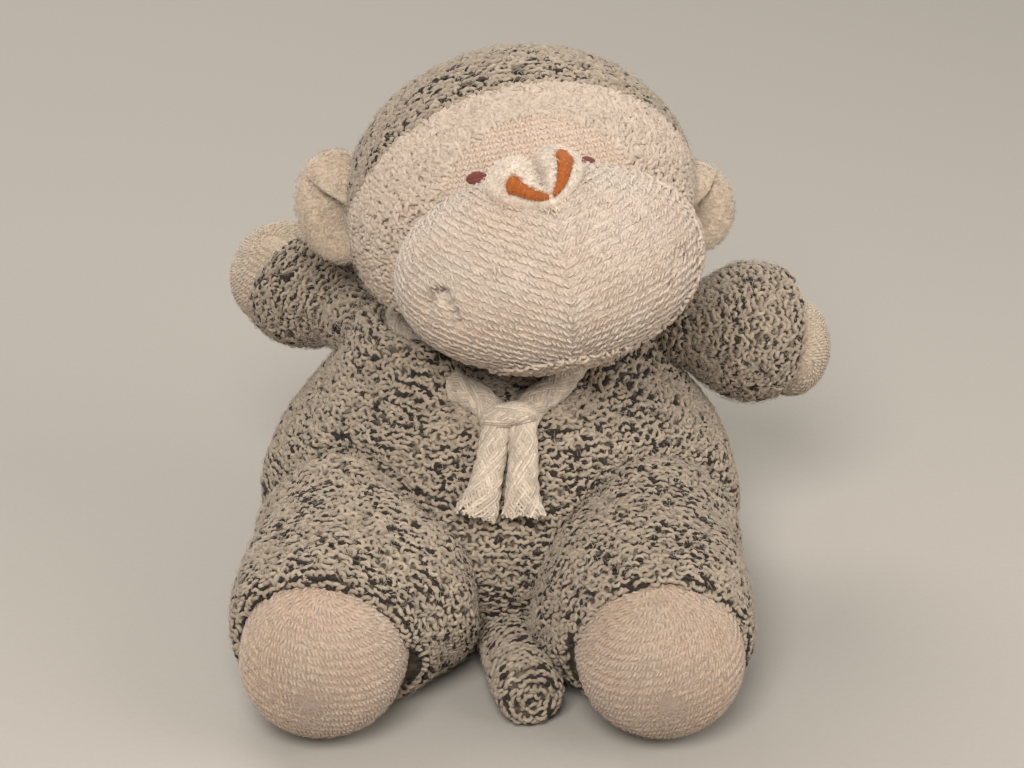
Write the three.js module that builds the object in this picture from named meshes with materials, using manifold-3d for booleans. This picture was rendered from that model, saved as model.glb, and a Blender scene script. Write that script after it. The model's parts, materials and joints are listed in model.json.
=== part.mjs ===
// A seated plush monkey: knitted covers over fibre filling, with sewn limbs, a hooded head and a neck cord.
// Millimetres, +Z up. The toy looks along -Y and its right side is -X.
// The origin is the middle of its flat seat.

import * as THREE from 'three';
import { mergeVertices } from 'three/addons/utils/BufferGeometryUtils.js';
import Module from 'manifold-3d';

// Fits
const CLEARANCE = 0.3;
const COVER_THICKNESS = 2.2;
const SMOOTH_KNIT_THICKNESS = 1.8;

// Body: radii of the pear at their heights, side to side, and its depth as a share of its width
const SEAT_SINK = 5;
const SEAT_RADIUS = 30;
const SEAT_EDGE_SINK = 3;
const HIP_RADIUS = 51;
const HIP_HEIGHT = 10;
const BELLY_RADIUS = 56;
const BELLY_HEIGHT = 27;
const CHEST_RADIUS = 47.5;
const CHEST_HEIGHT = 46;
const SHOULDER_RADIUS = 37;
const SHOULDER_HEIGHT = 57;
const COLLAR_RADIUS = 24;
const COLLAR_HEIGHT = 63;
const BODY_TOP = 66;
const BODY_DEPTH_SHARE = 0.84;
const SIDE_SEAM_Y = 8;
const BEAN_BAG_RADIUS = 30;
const BEAN_BAG_HEIGHT = 13;

// Neck: a stuffed ball between the dished tops of body and head
const NECK_RADIUS = 19;
const NECK_RISE = 2;
const NECK_BACK = 2;
const CORD_ROOM_RADIUS = 34;
const CORD_ROOM_ANGLE = 58;

// Head, in its own frame: half width, half depth and half height of the skull, and how it is held
const SKULL_HALF_WIDTH = 39.5;
const SKULL_HALF_DEPTH = 35;
const SKULL_HALF_HEIGHT = 34.5;
const HEAD_RISE = 29.5;
const HEAD_SIDE = 5;
const HEAD_FORWARD = 4;
const HEAD_TURN = 8;
const HEAD_TILT_BACK = 21;
const HEAD_LEAN = 7;
const FACE_HALF_WIDTH = 42;
const FACE_HALF_HEIGHT = 33;
const FACE_DROP = 7.5;
const PATCH_HALF_WIDTH = 21.5;
const PATCH_HALF_HEIGHT = 18.5;
const MUZZLE_HALF_WIDTH = 33.5;
const MUZZLE_HALF_DEPTH = 24;
const MUZZLE_HALF_HEIGHT = 22.5;
const MUZZLE_FORWARD = 28;
const MUZZLE_DROP = 14;
const NOSE_HALF_WIDTH = 10.8;
const NOSE_HEIGHT = 15;
const NOSE_PAD = 3.6;
const NOSE_CLIMB = 33;
const NOSE_LEAN = 46;
const NOSE_TURN = 10;
const NOSE_SINK = 7.2;
const NOSE_BEVEL = 1.44;
const NOSTRIL_THICKNESS = 0.8;
const NOSTRIL_WIDTH = 2.6;
const NOSTRIL_REACH = 7.9;
const NOSTRIL_RISE = 8.5;
const NOSTRIL_TIP = { side: 0.7, height: 1.5 };
const EYE_HALF_WIDTH = 2.1;
const EYE_HALF_HEIGHT = 1.3;
const RIGHT_EYE_SPREAD = 12.8;
const LEFT_EYE_SPREAD = 11;
const EYE_HEIGHT = 7.3;
const EYE_THICKNESS = 0.9;
const EAR_HALF_WIDTH = 10;
const EAR_HALF_DEPTH = 5;
const RIGHT_EAR_HALF_HEIGHT = 13;
const LEFT_EAR_HALF_HEIGHT = 10.8;
const RIGHT_EAR_HEIGHT = 5;
const LEFT_EAR_HEIGHT = -9;
const EAR_BACK = 3;
const EAR_OUT = 1.6;
const EAR_RISE = 1.3;
const EAR_FOLD_RADIUS = 6;
const EAR_FOLD_OUT = 5.6;
const EAR_FOLD_FORWARD = 7.7;
const EAR_FOLD_TURN = 29;

// Arms: a narrow root that swells to the cuff, and a domed hand
const ARM_ROOT_RADIUS = 7.5;
const RIGHT_ARM_RADIUS = 13.6;
const RIGHT_ARM_SWELL = 15;
const RIGHT_CUFF_RADIUS = 13.2;
const RIGHT_SLEEVE_LENGTH = 22;
const RIGHT_HAND_RADIUS = 12.4;
const RIGHT_HAND_LENGTH = 15;
const LEFT_ARM_RADIUS = 15;
const LEFT_ARM_SWELL = 19;
const LEFT_CUFF_RADIUS = 13.5;
const LEFT_SLEEVE_LENGTH = 27;
const LEFT_HAND_RADIUS = 11.5;
const LEFT_HAND_LENGTH = 13;
const RIGHT_SHOULDER_SEAM = 61;
const LEFT_SHOULDER_SEAM = 58.5;
const SHOULDER_SEAM_BACK = 8;
const ARM_SEAT = 1;
const RIGHT_ARM_RAISE = 9;
const RIGHT_ARM_BACK = 47;
const LEFT_ARM_RAISE = -9;
const LEFT_ARM_BACK = 15;

// Legs: fat tubes from a round root in the hip to a domed foot
const LEG_ROOT_RADIUS = 22;
const LEG_RADIUS = 21.4;
const LEG_SWELL = 20;
const ANKLE_RADIUS = 18.2;
const LEG_LENGTH = 39;
const FOOT_RADIUS = 15.9;
const FOOT_LENGTH = 19;
const HIP_SPREAD = 33;
const HIP_FORWARD = 29;
const HIP_LEVEL = 24.5;
const ANKLE_LEVEL = 19.4;
const RIGHT_LEG_SPLAY = 7;
const LEFT_LEG_SPLAY = 3;

// Tail: a short tube that lies on the floor between the legs
const TAIL_RADIUS = 6.6;
const TAIL_LENGTH = 34;
const TAIL_TIP_RADIUS = 4.7;
const TAIL_TIP_ROUNDING = 0.8;
const TAIL_ROOT_FORWARD = 36;
const TAIL_ROOT_SIDE = 1;
const TAIL_LEVEL = 7.3;
const TAIL_SPLAY = 11;

// How far the limbs move from rest, in degrees
const ARM_SWING = 20;
const LEG_LIFT = 20;
const TAIL_LIFT = 20;
const EAR_FOLD = 15;
const SWING_SPARE = 3;

// Neck cord: the points of its route, from the middle of the neck
const CORD_DIAMETER = 7;
const COLLAR_ROUTE = [
  [7.6, -33, -7.8],
  [12.6, -28, -5.8],
  [17.2, -20.8, -3.2],
  [20.6, -13.5, -1.4],
  [22.8, -6, -1],
  [23.4, 2, -1],
  [21.6, 9, -1],
  [16.5, 16.5, -1],
  [9, 21.6, -1],
  [0, 23.4, -1],
  [-9, 21.6, -1],
  [-16.5, 16.5, -1],
  [-21.6, 9, -1],
  [-23.4, 2, -1],
  [-22.6, -6, -1],
  [-20, -13.5, -1.4],
  [-15.8, -20.8, -3.2],
  [-9.4, -28, -5.8],
  [-2.8, -33, -7.8],
];
const RIGHT_TAIL_ROUTE = [
  [-0.9, -37, -10.6],
  [-1.1, -40.2, -14.4],
  [-1.8, -42.8, -17.8],
  [-2.8, -45.7, -21.6],
  [-3.7, -47.6, -24.7],
  [-4.4, -49, -27.4],
];
const LEFT_TAIL_ROUTE = [
  [6.6, -37, -10.6],
  [6.5, -40.2, -14.4],
  [6.4, -42.8, -17.8],
  [6.4, -45.7, -21.6],
  [6.4, -47.6, -24.7],
  [6.4, -49, -27.4],
];
const KNOT_PLACE = [2.8, -33.4, -8.2];
const KNOT_HALF_WIDTH = 7.4;
const KNOT_HALF_DEPTH = 5.4;
const KNOT_HALF_HEIGHT = 4.5;

// Facets: the outside of a form is finer than its inside
const BODY_OUTSIDE = { segments: 28, steps: 10 };
const BODY_INSIDE = { segments: 16, steps: 7 };
const LIMB_OUTSIDE = { segments: 15, steps: 10 };
const LIMB_INSIDE = { segments: 10, steps: 8 };
const SKULL_OUTSIDE = { segments: 24, rings: 12 };
const SKULL_INSIDE = { segments: 16, rings: 10 };
const MUZZLE_OUTSIDE = { segments: 22, rings: 12 };
const MUZZLE_INSIDE = { segments: 14, rings: 8 };
const BALL_FACETS = { segments: 16, rings: 8 };
const SEAT_OUTSIDE = { segments: 22, rings: 12 };
const SEAT_INSIDE = { segments: 12, rings: 6 };
const ARC_STEPS = 10;
const EYE_SEGMENTS = 12;
const CORD_SIDES = 8;
const COLLAR_STEPS = 28;
const CORD_TAIL_STEPS = 6;
const FLARE_LENGTH = 40;
const FINE_STEPS = 200;
const FAR = 200;

const COLOUR = {
  marl: 0x8b8073,
  tan: 0xc7a98b,
  peach: 0xd0b497,
  cream: 0xd5c7b2,
  fibre: 0xe8e4dc,
  beans: 0xcfc8ba,
  cord: 0xd8cfc0,
  nose: 0xdbd3c6,
  rust: 0x8a4522,
  maroon: 0x4a2422,
};
const ROUGHNESS = 0.95;
const WELD_DISTANCE = 1e-4;

const wasm = await Module();
wasm.setup();

const radians = THREE.MathUtils.degToRad;
const group = new THREE.Group();
group.name = 'plush_monkey';

// Solids

// A closed mesh as a solid that can be joined and cut.
function solid(geometry) {
  const bare = geometry.clone();
  bare.deleteAttribute('normal');
  bare.deleteAttribute('uv');
  const welded = mergeVertices(bare, WELD_DISTANCE);
  const corners = welded.index.array;
  const kept = [];
  for (let i = 0; i < corners.length; i += 3) {
    const [a, b, c] = corners.slice(i, i + 3);
    if (a !== b && b !== c && c !== a) kept.push(a, b, c);
  }
  return new wasm.Manifold(new wasm.Mesh({
    numProp: 3,
    vertProperties: new Float32Array(welded.attributes.position.array),
    triVerts: new Uint32Array(kept),
  }));
}

function geometryOf(piece) {
  const mesh = piece.getMesh();
  const geometry = new THREE.BufferGeometry();
  const positions = new Float32Array(mesh.vertProperties);
  geometry.setAttribute('position', new THREE.BufferAttribute(positions, 3));
  geometry.setIndex(new THREE.BufferAttribute(new Uint32Array(mesh.triVerts), 1));
  geometry.computeVertexNormals();
  return geometry;
}

function addPiece(parent, name, piece, colour) {
  const material = new THREE.MeshStandardMaterial({ color: colour, roughness: ROUGHNESS, metalness: 0 });
  const mesh = new THREE.Mesh(geometryOf(piece), material);
  mesh.name = name;
  parent.add(mesh);
}

function placed(geometry, matrix) {
  return solid(geometry.clone().applyMatrix4(matrix));
}

function joined(pieces) {
  return pieces.reduce((whole, piece) => whole.add(piece));
}

function turnAbout(pivot, axis, degrees) {
  const turn = new THREE.Matrix4().makeRotationAxis(axis.clone().normalize(), radians(degrees));
  const there = new THREE.Matrix4().makeTranslation(pivot);
  const back = new THREE.Matrix4().makeTranslation(pivot.clone().negate());
  return there.multiply(turn).multiply(back);
}

// A half space as a large box: everything on the far side of `from` along an axis ('x', 'y' or 'z').
function beyond(axis, from, side) {
  const box = new THREE.BoxGeometry(2 * FAR, 2 * FAR, 2 * FAR);
  const shift = new THREE.Vector3();
  shift[axis] = from + side * FAR;
  return solid(box.translate(shift.x, shift.y, shift.z));
}

// Swelling forms

// Points of a smooth profile through [radius, height] knots, from pole to pole, drawn in by `inset`.
function smoothProfile(knots, steps, inset) {
  const first = knots[1];
  const last = knots[knots.length - 2];
  const mirrored = [[-first[0], first[1]], ...knots, [-last[0], last[1]]];
  const corners = mirrored.map(([radius, height]) => new THREE.Vector3(radius, height, 0));
  const curve = new THREE.CatmullRomCurve3(corners, false, 'centripetal');
  const spans = mirrored.length - 1;
  const points = [];
  for (let i = 0; i <= steps; i += 1) {
    const t = (1 + (i / steps) * (spans - 2)) / spans;
    const along = curve.getTangent(t);
    const inwards = new THREE.Vector3(-along.y, along.x, 0);
    const point = curve.getPoint(t).add(inwards.multiplyScalar(inset));
    const pole = i === 0 || i === steps;
    points.push(new THREE.Vector2(pole ? 0 : Math.max(point.x, 0.01), point.y));
  }
  return points;
}

// The profile turned about Z.
function swellingForm(knots, facets, inset) {
  const profile = smoothProfile(knots, facets.steps, inset);
  return new THREE.LatheGeometry(profile, facets.segments).rotateX(Math.PI / 2);
}

function ellipsoid(halfWidth, halfDepth, halfHeight, facets) {
  const unit = new THREE.SphereGeometry(1, facets.segments, facets.rings).rotateX(Math.PI / 2);
  return unit.scale(halfWidth, halfDepth, halfHeight);
}

// Body form and the places on it

const BODY_KNOTS = [
  [0, -SEAT_SINK],
  [SEAT_RADIUS, -SEAT_EDGE_SINK],
  [HIP_RADIUS, HIP_HEIGHT],
  [BELLY_RADIUS, BELLY_HEIGHT],
  [CHEST_RADIUS, CHEST_HEIGHT],
  [SHOULDER_RADIUS, SHOULDER_HEIGHT],
  [COLLAR_RADIUS, COLLAR_HEIGHT],
  [0, BODY_TOP],
];

function bodyForm(inset) {
  const facets = inset > 0 ? BODY_INSIDE : BODY_OUTSIDE;
  const form = swellingForm(BODY_KNOTS, facets, inset).scale(1, BODY_DEPTH_SHARE, 1);
  return solid(form).subtract(beyond('z', Math.max(inset, 0), -1));
}

// Radius of the pear at a height above its widest place.
function bodyRadiusAt(height) {
  const points = smoothProfile(BODY_KNOTS, FINE_STEPS, 0).filter((point) => point.y > BELLY_HEIGHT);
  const off = (point) => Math.abs(point.y - height);
  return points.reduce((best, point) => (off(point) < off(best) ? point : best)).x;
}

// Half width of the body at a height, at the given place from front to back.
function bodyHalfWidth(height, y) {
  const radius = bodyRadiusAt(height);
  return radius * Math.sqrt(Math.max(0, 1 - (y / (radius * BODY_DEPTH_SHARE)) ** 2));
}

// Limbs: a cover sewn from a sleeve and an end piece, over a filling

function limbCover(knots, seamHeight, inset) {
  const outer = solid(swellingForm(knots, LIMB_OUTSIDE, 0));
  const cover = outer.subtract(solid(swellingForm(knots, LIMB_INSIDE, inset)));
  return {
    tube: cover.subtract(beyond('z', seamHeight - CLEARANCE / 2, 1)),
    end: cover.subtract(beyond('z', seamHeight + CLEARANCE / 2, -1)),
    filling: solid(swellingForm(knots, LIMB_INSIDE, inset + CLEARANCE)),
  };
}

// A group whose +Z runs from `root` along `direction`.
function limbGroup(root, direction) {
  const limb = new THREE.Group();
  limb.position.copy(root);
  limb.quaternion.setFromUnitVectors(new THREE.Vector3(0, 0, 1), direction.clone().normalize());
  limb.updateMatrix();
  return limb;
}

const RIGHT_SIDE = {
  name: 'right',
  sign: -1,
  armSeam: RIGHT_SHOULDER_SEAM,
  armRaise: RIGHT_ARM_RAISE,
  armBack: RIGHT_ARM_BACK,
  arm: { root: ARM_ROOT_RADIUS, full: RIGHT_ARM_RADIUS, swell: RIGHT_ARM_SWELL, swing: ARM_SWING },
  cuff: { radius: RIGHT_CUFF_RADIUS, start: RIGHT_SLEEVE_LENGTH },
  hand: { radius: RIGHT_HAND_RADIUS, length: RIGHT_HAND_LENGTH },
  earHeight: RIGHT_EAR_HEIGHT,
  earHalfHeight: RIGHT_EAR_HALF_HEIGHT,
  legSplay: RIGHT_LEG_SPLAY,
  eyeSpread: RIGHT_EYE_SPREAD,
  cordTail: RIGHT_TAIL_ROUTE,
};
const LEFT_SIDE = {
  name: 'left',
  sign: 1,
  armSeam: LEFT_SHOULDER_SEAM,
  armRaise: LEFT_ARM_RAISE,
  armBack: LEFT_ARM_BACK,
  arm: { root: ARM_ROOT_RADIUS, full: LEFT_ARM_RADIUS, swell: LEFT_ARM_SWELL, swing: ARM_SWING },
  cuff: { radius: LEFT_CUFF_RADIUS, start: LEFT_SLEEVE_LENGTH },
  hand: { radius: LEFT_HAND_RADIUS, length: LEFT_HAND_LENGTH },
  earHeight: LEFT_EAR_HEIGHT,
  earHalfHeight: LEFT_EAR_HALF_HEIGHT,
  legSplay: LEFT_LEG_SPLAY,
  eyeSpread: LEFT_EYE_SPREAD,
  cordTail: LEFT_TAIL_ROUTE,
};
const SIDES = [RIGHT_SIDE, LEFT_SIDE];

const DOME_SHARES = [[1, 0.45], [0.68, 0.83], [0, 1]];
const LEG = { root: LEG_ROOT_RADIUS, full: LEG_RADIUS, swell: LEG_SWELL, swing: LEG_LIFT };
const TAIL = { root: TAIL_RADIUS, full: TAIL_RADIUS, swell: TAIL_LENGTH / 2, swing: TAIL_LIFT };

// The root of a limb: a ball round the place where it swings, drawn in at the seam, then its full radius.
function rootKnots(limb) {
  const slant = limb.root * Math.SQRT1_2;
  const waist = radians(limb.swing);
  return [
    [0, -limb.root],
    [slant, -slant],
    [limb.root, 0],
    [limb.root * Math.cos(waist), limb.root * Math.sin(waist)],
    [limb.full, limb.swell],
  ];
}

// The rounded end of a limb beyond its cuff.
function domeKnots(radius, start, length) {
  return DOME_SHARES.map(([wide, along]) => [radius * wide, start + length * along]);
}

function armKnots({ arm, cuff, hand }) {
  return [
    ...rootKnots(arm),
    [cuff.radius, cuff.start],
    ...domeKnots(hand.radius, cuff.start, hand.length),
  ];
}

function armPlace(side) {
  const raise = radians(side.armRaise);
  const back = radians(side.armBack);
  const halfWidth = bodyHalfWidth(side.armSeam, SHOULDER_SEAM_BACK);
  const out = halfWidth + ARM_ROOT_RADIUS - ARM_SEAT;
  const height = side.armSeam + ARM_ROOT_RADIUS / 2;
  const root = new THREE.Vector3(side.sign * out, SHOULDER_SEAM_BACK, height);
  const direction = new THREE.Vector3(side.sign * Math.cos(back), Math.sin(back), Math.tan(raise));
  return limbGroup(root, direction);
}

const LEG_KNOTS = [
  ...rootKnots(LEG),
  [ANKLE_RADIUS, LEG_LENGTH],
  ...domeKnots(FOOT_RADIUS, LEG_LENGTH, FOOT_LENGTH),
];

function legPlace(side) {
  const root = new THREE.Vector3(side.sign * HIP_SPREAD, -HIP_FORWARD, HIP_LEVEL);
  const aside = side.sign * LEG_LENGTH * Math.sin(radians(side.legSplay));
  const direction = new THREE.Vector3(aside, -LEG_LENGTH, ANKLE_LEVEL - HIP_LEVEL);
  return limbGroup(root, direction);
}

const TAIL_SEAM = TAIL_LENGTH - TAIL_RADIUS / 2;
const TAIL_KNOTS = [
  ...rootKnots(TAIL),
  [TAIL_RADIUS, TAIL_SEAM],
  [TAIL_TIP_RADIUS, TAIL_LENGTH - TAIL_TIP_ROUNDING],
  [0, TAIL_LENGTH],
];

function tailPlace() {
  const splay = radians(TAIL_SPLAY);
  const root = new THREE.Vector3(TAIL_ROOT_SIDE, -TAIL_ROOT_FORWARD, TAIL_LEVEL);
  return limbGroup(root, new THREE.Vector3(Math.sin(splay), -Math.cos(splay), 0));
}

const armPlaces = SIDES.map(armPlace);
const legPlaces = SIDES.map(legPlace);
const tailGroup = tailPlace();
const neckCentre = new THREE.Vector3(0, NECK_BACK, BODY_TOP + NECK_RISE);

function ball(radius, facets = SEAT_OUTSIDE) {
  return ellipsoid(radius, radius, radius, facets);
}

// A radius whose facets all lie outside a round form of the given radius.
function roundAbout(radius, facets = SEAT_OUTSIDE) {
  return radius / (Math.cos(Math.PI / facets.segments) * Math.cos(Math.PI / 2 / facets.rings));
}

// The opening round a limb's ball root, flared outwards by the limb's taper and by its swing.
function swingRoom(limb, spare, facets) {
  const wide = roundAbout(limb.root + spare, facets);
  const waist = radians(limb.swing);
  const widening = limb.full - limb.root * Math.cos(waist);
  const taper = Math.atan2(widening, limb.swell - limb.root * Math.sin(waist));
  const flare = Math.tan(taper + radians(limb.swing + SWING_SPARE));
  const profile = [];
  const arcSteps = facets.rings / 2;
  for (let i = 0; i <= arcSteps; i += 1) {
    const angle = (i / arcSteps) * (Math.PI / 2);
    profile.push(new THREE.Vector2(wide * Math.sin(angle), -wide * Math.cos(angle)));
  }
  profile.push(new THREE.Vector2(wide + FLARE_LENGTH * flare, FLARE_LENGTH));
  profile.push(new THREE.Vector2(0, FLARE_LENGTH));
  return new THREE.LatheGeometry(profile, facets.segments).rotateX(Math.PI / 2);
}

// Everything that the body makes room for: limbs, tail and neck.
function bodyRoom(spare, facets) {
  const arms = armPlaces.map((place, index) => {
    return placed(swingRoom(SIDES[index].arm, spare, facets), place.matrix);
  });
  const legs = legPlaces.map((place) => placed(swingRoom(LEG, spare, facets), place.matrix));
  const tail = placed(swingRoom(TAIL, spare, facets), tailGroup.matrix);
  const neck = solid(ball(roundAbout(NECK_RADIUS + spare, facets), facets).translate(...neckCentre));
  return joined([...arms, ...legs, tail, neck]);
}

// Body

function addBody() {
  const outer = bodyForm(0).subtract(bodyRoom(CLEARANCE, SEAT_OUTSIDE));
  const hollowRoom = bodyRoom(CLEARANCE + COVER_THICKNESS, SEAT_INSIDE);
  const hollow = bodyForm(COVER_THICKNESS).subtract(hollowRoom);
  const cover = outer.subtract(hollow);
  const front = cover.subtract(beyond('y', SIDE_SEAM_Y - CLEARANCE / 2, 1));
  const back = cover.subtract(beyond('y', SIDE_SEAM_Y + CLEARANCE / 2, -1));
  addPiece(group, 'body_front_panel', front, COLOUR.marl);
  addPiece(group, 'body_back_panel', back, COLOUR.marl);

  const inset = COVER_THICKNESS + CLEARANCE;
  const inside = bodyForm(inset).subtract(bodyRoom(CLEARANCE + inset, SEAT_INSIDE));
  const bag = (spare) => {
    const wide = BEAN_BAG_RADIUS + spare;
    const lens = ellipsoid(wide, wide * BODY_DEPTH_SHARE, BEAN_BAG_HEIGHT + spare, BALL_FACETS);
    return solid(lens.translate(0, 0, inset));
  };
  addPiece(group, 'body_filling', inside.subtract(bag(CLEARANCE)), COLOUR.fibre);
  addPiece(group, 'seat_bean_bag', inside.intersect(bag(0)), COLOUR.beans);
  addPiece(group, 'neck_stub', solid(ball(NECK_RADIUS).translate(...neckCentre)), COLOUR.marl);
}

// Head

const headGroup = new THREE.Group();
headGroup.position.copy(neckCentre).add(new THREE.Vector3(HEAD_SIDE, -HEAD_FORWARD, HEAD_RISE));
headGroup.rotation.set(-radians(HEAD_TILT_BACK), -radians(HEAD_LEAN), radians(HEAD_TURN), 'ZXY');
headGroup.updateMatrix();
const intoHead = headGroup.matrix.clone().invert();

function skull(inset) {
  const facets = inset > 0 ? SKULL_INSIDE : SKULL_OUTSIDE;
  return ellipsoid(SKULL_HALF_WIDTH - inset, SKULL_HALF_DEPTH - inset, SKULL_HALF_HEIGHT - inset, facets);
}

function muzzle(inset) {
  const facets = inset > 0 ? MUZZLE_INSIDE : MUZZLE_OUTSIDE;
  const halfWidth = MUZZLE_HALF_WIDTH - inset;
  const form = ellipsoid(halfWidth, MUZZLE_HALF_DEPTH - inset, MUZZLE_HALF_HEIGHT - inset, facets);
  return form.translate(0, -MUZZLE_FORWARD, -MUZZLE_DROP);
}

// A straight elliptical way cut into the head from the front.
function faceCut(halfWidth, halfHeight, drop) {
  const way = new THREE.CylinderGeometry(1, 1, FAR, SKULL_OUTSIDE.segments);
  return solid(way.scale(halfWidth, 1, halfHeight).translate(0, -FAR / 2, -drop));
}

// The room under the head for the cord and the nod: a ball round the neck, less the cone that rests on it.
function cordRoom() {
  const from = radians(CORD_ROOM_ANGLE);
  const profile = [new THREE.Vector2(0, -CORD_ROOM_RADIUS)];
  for (let i = 1; i <= ARC_STEPS; i += 1) {
    const angle = Math.PI + (i / ARC_STEPS) * (from - Math.PI);
    const outwards = new THREE.Vector2(Math.sin(angle), Math.cos(angle));
    profile.push(outwards.multiplyScalar(CORD_ROOM_RADIUS));
  }
  profile.push(new THREE.Vector2(0, 0));
  const room = new THREE.LatheGeometry(profile, BALL_FACETS.segments);
  return room.rotateX(Math.PI / 2).translate(...neckCentre);
}

function addHead() {
  const neckRoom = ball(roundAbout(NECK_RADIUS + CLEARANCE)).translate(...neckCentre);
  const underside = placed(cordRoom(), intoHead).add(placed(neckRoom, intoHead));
  const shell = solid(skull(0)).subtract(solid(skull(COVER_THICKNESS))).subtract(underside);
  const half = CLEARANCE / 2;
  const hood = shell.subtract(faceCut(FACE_HALF_WIDTH + half, FACE_HALF_HEIGHT + half, FACE_DROP));
  const face = shell.intersect(faceCut(FACE_HALF_WIDTH - half, FACE_HALF_HEIGHT - half, FACE_DROP));
  const ring = face.subtract(faceCut(PATCH_HALF_WIDTH + half, PATCH_HALF_HEIGHT + half, 0));
  const patch = face.intersect(faceCut(PATCH_HALF_WIDTH - half, PATCH_HALF_HEIGHT - half, 0));
  addPiece(headGroup, 'hood', hood, COLOUR.marl);
  addPiece(headGroup, 'face_ring', ring, COLOUR.cream);
  addPiece(headGroup, 'forehead_patch', patch, COLOUR.peach);
  const filling = solid(skull(COVER_THICKNESS + CLEARANCE)).subtract(underside);
  addPiece(headGroup, 'head_filling', filling, COLOUR.fibre);
  addMuzzle(underside);
  addNose();
  addEyes();
  group.add(headGroup);
}

function addMuzzle(underside) {
  const behind = solid(skull(-CLEARANCE)).add(underside);
  const cover = solid(muzzle(0)).subtract(solid(muzzle(SMOOTH_KNIT_THICKNESS))).subtract(behind);
  addPiece(headGroup, 'muzzle_right_half', cover.subtract(beyond('x', -CLEARANCE / 2, 1)), COLOUR.tan);
  addPiece(headGroup, 'muzzle_left_half', cover.subtract(beyond('x', CLEARANCE / 2, -1)), COLOUR.tan);
  const filling = solid(muzzle(SMOOTH_KNIT_THICKNESS + CLEARANCE)).subtract(behind);
  addPiece(headGroup, 'muzzle_filling', filling, COLOUR.fibre);
}

// The heart-shaped nose pad, its tip at the origin, in the X-Y plane with +Y up.
function noseOutline() {
  const heart = new THREE.Shape();
  const top = NOSE_HEIGHT;
  const wide = NOSE_HALF_WIDTH;
  heart.moveTo(0, 0);
  heart.bezierCurveTo(wide * 0.5, top * 0.12, wide, top * 0.35, wide, top * 0.68);
  heart.bezierCurveTo(wide, top * 1.08, wide * 0.25, top * 1.1, 0, top * 0.82);
  heart.bezierCurveTo(-wide * 0.25, top * 1.1, -wide, top * 1.08, -wide, top * 0.68);
  heart.bezierCurveTo(-wide, top * 0.35, -wide * 0.5, top * 0.12, 0, 0);
  return heart;
}

// A comma-shaped nostril on one side of the nose, fat above and thin at the tip of the nose.
function nostrilOutline(sign) {
  const comma = new THREE.Shape();
  const wide = NOSTRIL_WIDTH;
  const reach = NOSTRIL_REACH;
  const rise = NOSTRIL_RISE;
  const inner = reach - wide;
  const crown = rise + wide * 0.8;
  comma.moveTo(sign * NOSTRIL_TIP.side, NOSTRIL_TIP.height);
  comma.quadraticCurveTo(sign * reach * 0.7, rise * 0.45, sign * reach, rise);
  comma.quadraticCurveTo(sign * (reach - wide * 0.6), crown, sign * inner, rise + wide * 0.4);
  comma.quadraticCurveTo(sign * reach * 0.45, rise * 0.75, sign * NOSTRIL_TIP.side, NOSTRIL_TIP.height);
  return comma;
}

// Where the nose sits: on the muzzle's crown, leaning with it and turned a little to the right.
function nosePlace() {
  const climb = radians(NOSE_CLIMB);
  const forward = MUZZLE_FORWARD + MUZZLE_HALF_DEPTH * Math.cos(climb);
  const up = MUZZLE_HALF_HEIGHT * Math.sin(climb) - MUZZLE_DROP;
  const seat = new THREE.Vector3(0, -forward, up);
  const lean = new THREE.Matrix4().makeRotationX(Math.PI / 2 - radians(NOSE_LEAN));
  const turn = new THREE.Matrix4().makeRotationZ(radians(NOSE_TURN));
  return new THREE.Matrix4().makeTranslation(seat).multiply(lean).multiply(turn);
}

function addNose() {
  const place = nosePlace();
  const pad = new THREE.ExtrudeGeometry(noseOutline(), {
    depth: NOSE_SINK + NOSE_PAD - NOSE_BEVEL,
    curveSegments: 6,
    bevelThickness: NOSE_BEVEL,
    bevelSize: NOSE_BEVEL,
    bevelOffset: -NOSE_BEVEL,
    bevelSegments: 2,
  });
  const carriers = solid(muzzle(-CLEARANCE)).add(solid(skull(-CLEARANCE)));
  const nose = placed(pad.translate(0, 0, -NOSE_SINK), place).subtract(carriers);
  addPiece(headGroup, 'nose', nose, COLOUR.nose);
  const stitching = { depth: NOSTRIL_THICKNESS, curveSegments: 5, bevelEnabled: false };
  for (const side of SIDES) {
    const stitch = new THREE.ExtrudeGeometry(nostrilOutline(side.sign), stitching);
    const lifted = stitch.translate(0, 0, NOSE_PAD + CLEARANCE);
    addPiece(headGroup, `nostril_${side.name}`, placed(lifted, place), COLOUR.rust);
  }
}

function addEyes() {
  const carriers = solid(muzzle(-CLEARANCE)).add(solid(skull(-CLEARANCE)));
  const layer = solid(skull(-CLEARANCE - EYE_THICKNESS)).subtract(carriers);
  for (const side of SIDES) {
    const oval = new THREE.CylinderGeometry(1, 1, FAR, EYE_SEGMENTS);
    const stitched = oval.scale(EYE_HALF_WIDTH, 1, EYE_HALF_HEIGHT);
    const way = solid(stitched.translate(side.sign * side.eyeSpread, -FAR / 2, EYE_HEIGHT));
    addPiece(headGroup, `eye_${side.name}`, layer.intersect(way), COLOUR.maroon);
  }
}

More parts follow.
